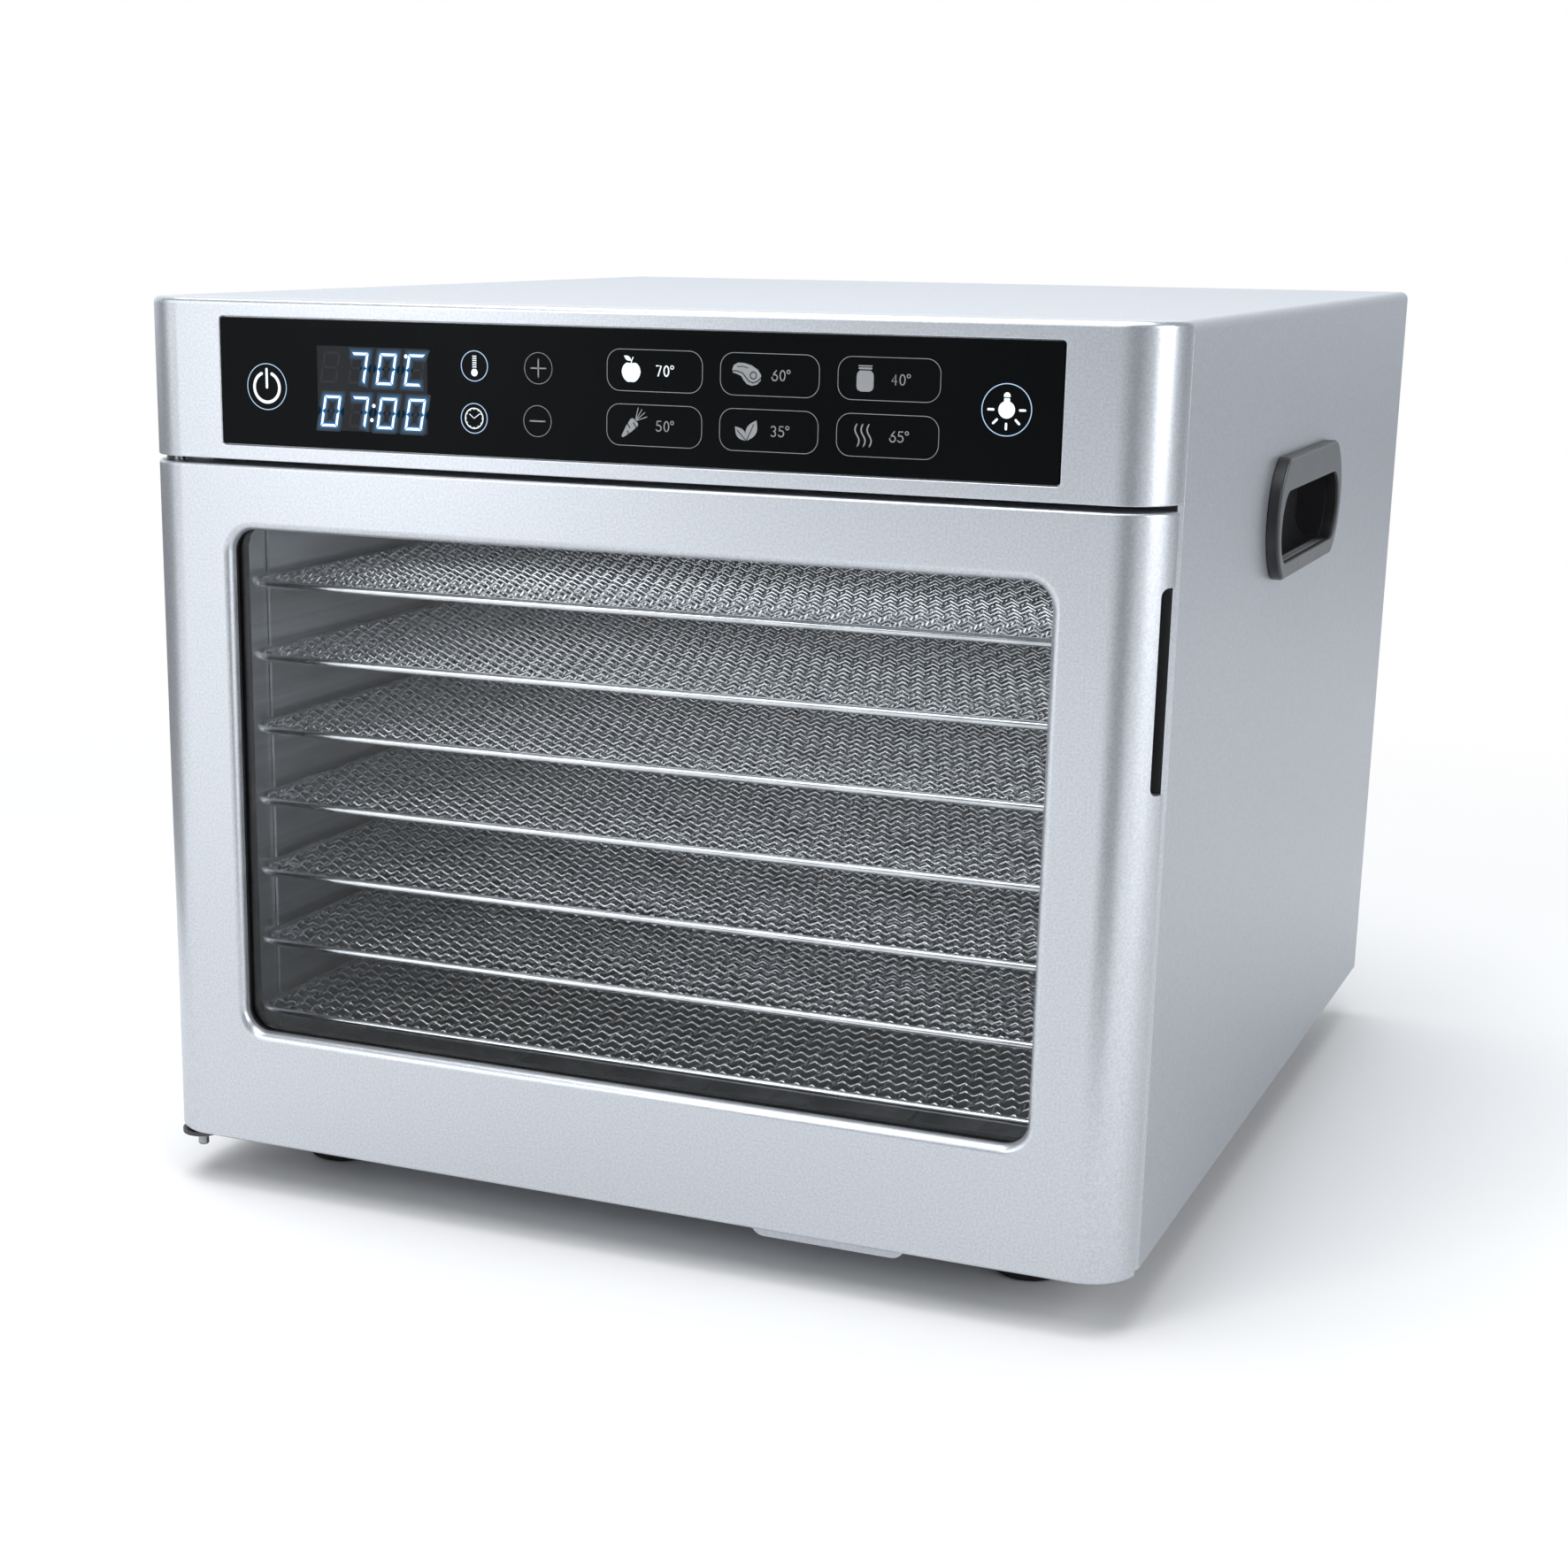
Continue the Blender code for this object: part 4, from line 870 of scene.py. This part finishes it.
def draw_carrot(marks, gaps, x, z):
    root = [(-5.4, 0.0), (-5.1, -0.45), (-1.7, -1.35), (1.2, -1.75), (1.9, -1.3), (2.1, 0.0), (1.9, 1.3),
            (1.2, 1.75), (-1.7, 1.35), (-5.1, 0.45)]
    marks.blob(turned_points(root, x, z, 48, 0.92))
    for along, low, high in ((-3.0, -1.3, 0.1), (-1.2, -0.2, 1.7), (0.5, -1.9, 0.2)):
        gaps.line(turned_points([(along, low), (along + 0.5, high)], x, z, 48, 0.92), 0.3, caps=False)
    for lean in (20, 40, 58, 76):
        dx, dz = math.cos(math.radians(lean)), math.sin(math.radians(lean))
        marks.line([(x + 1.1, z + 1.25), (x + 1.1 + 4.2 * dx, z + 1.25 + 4.2 * dz)], 0.26)


def draw_leaves(marks, gaps, x, z):
    for lean, length, width in ((63, 7.0, 3.4), (132, 5.6, 2.8)):
        marks.blob(turned_points(leaf(length, width), x + 0.3, z - 3.2, lean))
        vein = turned_points([(0.0, 0.0), (length * 0.8, 0.2)], x + 0.3, z - 3.2, lean)
        gaps.line(vein, 0.24, caps=False)


def draw_steam(marks, gaps, x, z):
    for shift in (-1.9, 0, 1.9):
        points = []
        for i in range(17):
            t = i / 16
            points.append((x + shift + 0.6 * math.sin(2 * math.pi * t) - 0.3 * t, z - 3.2 + 6.4 * t))
        marks.line(points, 0.42)


def draw_numbers(marks, x, z, text, width=0.34):
    """Plain strokes for a temperature such as 70 and its degree ring."""
    height = 3.0
    w = height * 0.52
    strokes = {
        "0": [[(0.5 * w + 0.5 * w * math.sin(a), 0.5 * height - 0.5 * height * math.cos(a))
               for a in [2 * math.pi * i / 16 for i in range(17)]]],
        "3": [arc(0.42 * w, 0.75 * height, 0.25 * height, 150, -90, 10)
              + arc(0.42 * w, 0.25 * height, 0.25 * height, 90, -150, 10)[1:]],
        "4": [[(0.75 * w, 0), (0.75 * w, height), (0, 0.32 * height), (w, 0.32 * height)]],
        "5": [[(0.9 * w, height), (0.12 * w, height), (0.06 * w, 0.56 * height)]
              + arc(0.40 * w, 0.31 * height, 0.30 * height, 120, -150, 12)],
        "6": [[(0.85 * w, height), (0.25 * w, 0.62 * height)]
              + arc(0.5 * w, 0.29 * height, 0.29 * height, 165, -195, 18)],
        "7": [[(0, height), (w, height), (0.35 * w, 0)]],
    }
    for letter in text:
        for path in strokes[letter]:
            marks.line([(x + u, z + v) for u, v in path], width)
        x += w + 0.95
    marks.ring(x + 0.15, z + height - 0.35, 0.5, 0.26)


def draw_power(marks, rings, x, z):
    rings.ring(x, z, 7.35, RING)
    points = [(x + 4.75 * math.sin(a), z - 0.2 + 4.75 * math.cos(a))
              for a in [math.radians(24 + 312 * i / 40) for i in range(41)]]
    marks.line(points, 1.0)
    marks.line([(x, z - 0.2), (x, z + 5.6)], 0.85)


def draw_thermometer(marks, rings, x, z):
    rings.ring(x, z, 4.65, RING)
    marks.blob(circle(x, z - 2.05, 1.15, 24))
    marks.line([(x, z - 2.0), (x, z - 0.9)], 1.35, caps=False)
    for i in range(6):
        height = z - 0.3 + 0.66 * i
        marks.line([(x - 0.72, height), (x + 0.72, height)], 0.34, caps=False)


def draw_clock(marks, rings, x, z):
    rings.ring(x, z, 4.62, RING)
    marks.ring(x, z, 3.12, 0.36)
    for i in range(12):
        a = math.radians(30 * i)
        marks.line([(x + 2.62 * math.sin(a), z + 2.62 * math.cos(a)),
                    (x + 3.0 * math.sin(a), z + 3.0 * math.cos(a))], 0.24, caps=False)
    marks.line([(x - 1.6, z + 1.25), (x, z), (x + 1.95, z + 1.45)], 0.26)


def draw_bulb(marks, rings, x, z):
    rings.ring(x, z, 7.45, RING)
    marks.blob(circle(x, z, 2.5, 32))
    marks.blob(rounded(x - 0.9, z + 2.0, x + 0.9, z + 3.35, 0.3, 3))
    marks.blob(arc(x, z + 4.0, 1.0, 0, 180, 12) + [(x - 1.0, z + 3.65), (x + 1.0, z + 3.65)])
    for lean in (180, 225, 270, 315, 360):
        dx, dz = math.cos(math.radians(lean)), math.sin(math.radians(lean))
        marks.line([(x + 4.0 * dx, z + 4.0 * dz), (x + 5.5 * dx, z + 5.5 * dz)], 0.7)


def dim(name, dark, light):
    """A matt print."""
    return moulded(name, dark, light, 0.4, 0.5, specular=0.05)


def make_display():
    """Smoked window, unlit bars, a stack of narrowing halos and the lit bars on top."""
    window = Marks(0.02 * MM)
    window.blob(rectangle(*DISPLAY))
    window.build("display_window", dim("smoked_display", (0.023, 0.025, 0.028), (0.028, 0.030, 0.034)))
    unlit = Marks(0.04 * MM)
    for bar in display_bars(False):
        unlit.blob(bar)
    unlit.build("display_unlit_bars", dim("unlit_bars", (0.033, 0.035, 0.038), (0.040, 0.042, 0.046)))
    glow = ((1.5, 0.03), (1.15, 0.07), (0.85, 0.13), (0.6, 0.22), (0.38, 0.36), (0.18, 0.58))
    for i, (grow, strength) in enumerate(glow):
        halo = Marks((0.05 + 0.01 * i) * MM, 0.01 * MM)
        for bar in display_bars(True, grow):
            halo.blob(bar)
        halo.build(f"display_halo_{i + 1}", glowing(f"display_glow_{i + 1}", (0.02, 0.33, 0.80), strength))
    bars = Marks(0.12 * MM)
    for bar in display_bars(True):
        bars.blob(bar)
    for x, z in DISPLAY_DOTS:
        bars.blob(circle(x, z, 0.62, 16))
    bars.build("display_lit_bars", glowing("white_glow", (0.90, 0.97, 1.0), 1.4))


def make_panel():
    """Touch glass with its marks: lit ones, printed ones and the dark gaps in the icons."""
    outline = rounded(PANEL_LO.x, PANEL_LO.z, PANEL_HI.x, PANEL_HI.z, 1.0 * MM, 4)
    glass = prism("touch_panel", [outline], PANEL_LO.y, PANEL_HI.y, "Y")
    round_edges(glass, lambda p: abs(p.y - PANEL_LO.y) < TOUCH / 10, 0.25 * MM, 2)
    dress(smooth(glass), PANEL, "cabinet", ["touch_glass"])
    make_display()

    lit, rings = Marks(0.05 * MM), Marks(0.05 * MM)
    draw_power(lit, rings, *POWER_AT)
    draw_thermometer(lit, rings, *THERMOMETER_AT)
    draw_clock(lit, rings, *CLOCK_AT)
    draw_bulb(lit, rings, *BULB_AT)
    draw_apple(lit, None, FIELD_X + 8.1, FIELD_Z + 6.2)
    draw_numbers(lit, FIELD_X + 16.6, FIELD_Z + 4.8, "70", width=0.42)
    lit.build("panel_lit_marks", glowing("pale_glow", (0.86, 0.95, 1.0), 1.2))
    rings.build("panel_lit_rings", glowing("blue_glow", (0.50, 0.72, 1.0), 1.0))

    plain, gaps = Marks(0.05 * MM), Marks(0.08 * MM)
    for (x, z), bars in ((PLUS_AT, ((0, 2.7), (2.6, 0))), (MINUS_AT, ((2.6, 0),))):
        plain.ring(x, z, 4.78, THIN)
        for dx, dz in bars:
            plain.line([(x - dx, z - dz), (x + dx, z + dz)], 0.42)
    drawn = {(1, 0): (draw_steak, "60"), (2, 0): (draw_jar, "40"), (0, 1): (draw_carrot, "50"),
             (1, 1): (draw_leaves, "35"), (2, 1): (draw_steam, "65")}
    for column in range(3):
        for row in range(2):
            x0, z0 = FIELD_X + COLUMN_PITCH * column, FIELD_Z - ROW_PITCH * row
            plain.line(rounded(x0, z0, x0 + FIELD_W, z0 + FIELD_H, FIELD_R, 8), THIN, closed=True)
            if (column, row) in drawn:
                draw, number = drawn[(column, row)]
                draw(plain, gaps, x0 + 8.5, z0 + 6.2)
                draw_numbers(plain, x0 + 16.8, z0 + 4.7, number)
    plain.build("panel_printed_marks", dim("grey_print", (0.31, 0.32, 0.33), (0.37, 0.38, 0.39)))
    gaps.build("panel_icon_gaps", PANEL)


# ---- carried-over nodes ----

def paint_cad():
    """Materials for the nodes that show as they are in the CAD."""
    finishes = (
        (LINER_STEEL, "chamber_liner tray_rack_left tray_rack_right"),
        (ZINC, "base_pan rear_baffle fan_shroud motor_bracket crumb_rail_left crumb_rail_right"),
        (ZINC, "rear_panel rear_frame"),
        (SILVER_SHEET, "crumb_tray"),
        (DARK_STEEL, "hinge_plate_lower hinge_plate_upper heater_ring fan_impeller fan_motor"),
        (DARK_STEEL, "door_magnet rear_screw_1 rear_screw_2 rear_screw_3 rear_screw_4"),
        (PIN_STEEL, "hinge_pin_lower hinge_pin_upper door_strike fan_shaft temp_sensor"),
        (DARK_GREY_AND_GAP_SHADE, "grip_liner"),
        (BLACK, "door_inner_frame inlet_socket display_module"),
        (WHITE, "hinge_bush_lower hinge_bush_upper lamp_holder thermal_cutout"),
        (BOARD, "control_board power_board"),
        (CLEAR, "door_glass"),
        (glowing("lamp_glow", (1.0, 0.97, 0.9), 1.5), "lamp_lens"),
    )
    for material, names in finishes:
        for name in names.split():
            slots = NODES[name].data.materials
            slots.clear()
            slots.append(material)


# ---- stage ----

# Darker parts of the floor, which only light and reflections see. Wedges: heading from the front
# towards the right and half width in degrees, amount. Patches: centre, where they end, where they
# are full, amount.
WEDGES = ((23, 12, 0.82), (127, 8, 0.5), (-110, 50, 0.8))
WEDGE_START, WEDGE_BLUR = (0.45, 0.70), 5
PATCHES = (((0.42, 0.05, 0.0), 0.60, 0.15, 0.36), ((-0.15, -0.45, 0.0), 0.55, 0.20, 0.20),
           ((0.46, 0.60, 0.0), 0.45, 0.10, 0.20))


def make_floor():
    """A pale floor that fades into the white backdrop away from the object."""
    floor = prism("floor", [rectangle(-6, -6, 6, 6)], -0.02, -0.0002, "Z")
    finish = Finish("pale_floor", (0.88, 0.88, 0.88), 0.75, specular=0.2)
    finish.colours(finish.noise(3.0, 2.0), (0.87, 0.87, 0.875), (0.90, 0.90, 0.90))
    tree = finish.tree
    spot = shader_node(tree, "ShaderNodeTexCoord").outputs["Object"]
    distance = shader_node(tree, "ShaderNodeVectorMath", spot, operation="LENGTH").outputs["Value"]
    camera_ray = shader_node(tree, "ShaderNodeLightPath").outputs["Is Camera Ray"]
    shade_floor(finish, floor_darkness(tree, spot, distance), camera_ray)
    fade = map_range(tree, distance, (0.30, 0.95), curve="SMOOTHSTEP")
    seen = maths(tree, "MULTIPLY", fade, camera_ray)
    white = shader_node(tree, "ShaderNodeEmission").outputs["Emission"]
    mix = shader_node(tree, "ShaderNodeMixShader", seen, finish.shader.outputs["BSDF"], white)
    tree.links.new(mix.outputs["Shader"], tree.nodes["Material Output"].inputs["Surface"])
    floor.data.materials.append(finish.material)


def floor_darkness(tree, spot, distance):
    """The strongest darkening that any wedge or patch gives a spot on the floor."""
    heading = shader_node(tree, "ShaderNodeVectorMath", spot, operation="NORMALIZE").outputs["Vector"]
    far = map_range(tree, distance, WEDGE_START, curve="SMOOTHSTEP")
    shades = []
    for angle, half, amount in WEDGES:
        towards = shader_node(tree, "ShaderNodeVectorMath", heading, operation="DOT_PRODUCT")
        angle = math.radians(angle)
        towards.inputs[1].default_value = (math.sin(angle), -math.cos(angle), 0.0)
        edges = [math.cos(math.radians(half + blur)) for blur in (WEDGE_BLUR, -WEDGE_BLUR)]
        wedge = map_range(tree, towards.outputs["Value"], edges, (0.0, amount), "SMOOTHSTEP")
        shades.append(maths(tree, "MULTIPLY", wedge, far))
    for centre, outside, inside, amount in PATCHES:
        apart = shader_node(tree, "ShaderNodeVectorMath", spot, operation="DISTANCE")
        apart.inputs[1].default_value = centre
        patch = map_range(tree, apart.outputs["Value"], (outside, inside), (0.0, amount), "SMOOTHSTEP")
        shades.append(patch)
    darkest = shades[0]
    for shade in shades[1:]:
        darkest = maths(tree, "MAXIMUM", darkest, shade)
    return darkest


def shade_floor(finish, darkness, camera_ray):
    """Mix black into the floor's colour, except where the camera looks at it."""
    tree = finish.tree
    unseen = shader_node(tree, "ShaderNodeMath", camera_ray, operation="LESS_THAN")
    unseen.inputs[1].default_value = 0.5
    factor = maths(tree, "MULTIPLY", darkness, unseen.outputs["Value"])
    base = finish.shader.inputs["Base Color"]
    plain = base.links[0].from_socket
    shaded = shader_node(tree, "ShaderNodeMix", factor)
    shaded.data_type = "RGBA"
    first, second = [socket for socket in shaded.inputs if socket.type == "RGBA"]
    second.default_value = (0.0, 0.0, 0.0, 1.0)
    tree.links.new(plain, first)
    result = next(socket for socket in shaded.outputs if socket.type == "RGBA")
    tree.links.new(result, base)


def add_light(name, place_at, aim_at, size, power, colour=(1, 1, 1)):
    data = bpy.data.lights.new(name, "AREA")
    data.shape = "RECTANGLE"
    data.size, data.size_y = size
    data.energy = power
    data.color = colour
    light = link_object(name, data)
    light.location = place_at
    direction = Vector(aim_at) - Vector(place_at)
    light.rotation_euler = direction.to_track_quat("-Z", "Y").to_euler()
    light.visible_camera = False


def make_world():
    """A white backdrop for the camera; a grey room, brighter behind, for light and reflections."""
    world = bpy.data.worlds.new("studio")
    bpy.context.scene.world = world
    world.use_nodes = True
    tree = world.node_tree
    direction = shader_node(tree, "ShaderNodeTexCoord").outputs["Generated"]
    towards = shader_node(tree, "ShaderNodeVectorMath", direction, operation="DOT_PRODUCT")
    towards.inputs[1].default_value = (-0.55, 0.83, 0.0)
    colour = colour_ramp(tree, towards.outputs["Value"], 0.45, (0.26, 0.28, 0.305), 0.85, (1.0, 1.03, 1.06))
    room = tree.nodes["Background"]
    tree.links.new(colour, room.inputs["Color"])
    backdrop = shader_node(tree, "ShaderNodeBackground")
    backdrop.inputs["Color"].default_value = (1.0, 1.0, 1.0, 1.0)
    backdrop.inputs["Strength"].default_value = 1.0
    camera_ray = shader_node(tree, "ShaderNodeLightPath").outputs["Is Camera Ray"]
    mix = shader_node(tree, "ShaderNodeMixShader", camera_ray, room.outputs["Background"],
                      backdrop.outputs["Background"])
    tree.links.new(mix.outputs["Shader"], tree.nodes["World Output"].inputs["Surface"])


def make_lights():
    """Soft boxes: name, place, aim, size and power."""
    make_world()
    bpy.context.scene.view_settings.view_transform = "Standard"
    add_light("strip_left", (-0.85, -1.55, 0.62), (-0.05, -0.1, 0.3), (0.30, 1.15), 3.0)
    add_light("key_left", (-1.7, -1.3, 0.9), (0, 0, 0.2), (0.8, 1.5), 5.0)
    add_light("strip_right", (1.83, -0.50, 0.8), (0.1, -0.1, 0.2), (1.2, 1.4), 17)
    add_light("top", (-0.2, -0.15, 2.0), (0, 0, 0.2), (2.0, 1.6), 35)
    add_light("wire_light", (-0.72, -1.75, 1.05), (0, -0.1, 0.15), (0.5, 0.4), 2.8)
    add_light("floor_fill", (-0.30, -1.25, 1.5), (-0.30, -1.25, 0), (0.6, 0.6), 5.4)
    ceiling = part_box("lamp_lens")[0].z - MM
    add_light("chamber_glow", (0, LINER_LO.y + 60 * MM, ceiling), (0, LINER_LO.y + 110 * MM, 0),
              (270 * MM, 60 * MM), 0.085, (0.93, 0.97, 1.0))


def make_camera():
    """The photograph's view: 24 degrees to the right of the front, 15 degrees down."""
    yaw, pitch, roll = math.radians(23.97), math.radians(14.70), math.radians(0.60)
    forward = Vector((-math.sin(yaw) * math.cos(pitch), math.cos(yaw) * math.cos(pitch), -math.sin(pitch)))
    level = Vector((math.cos(yaw), math.sin(yaw), 0))
    upright = level.cross(forward)
    right = level * math.cos(roll) + upright * math.sin(roll)
    up = upright * math.cos(roll) - level * math.sin(roll)
    data = bpy.data.cameras.new("camera")
    data.sensor_width = 36.0
    data.lens = 60.72
    data.shift_x = 0.080
    data.shift_y = 0.080
    data.clip_start = 0.01
    camera = link_object("camera", data)
    camera.matrix_world = Matrix((right, up, -forward)).transposed().to_4x4()
    camera.location = (0.350, -0.948, 0.3364)
    bpy.context.scene.camera = camera


make_camera()
make_shell()
make_bezel()
make_mouth_frame()
make_hand_grip("grip_left", -1, "hand_grip_left")
make_hand_grip("grip_right", 1, "hand_grip_right")
make_feet()
make_door()
make_gasket()
make_trays()
make_panel()
paint_cad()
make_floor()
make_lights()
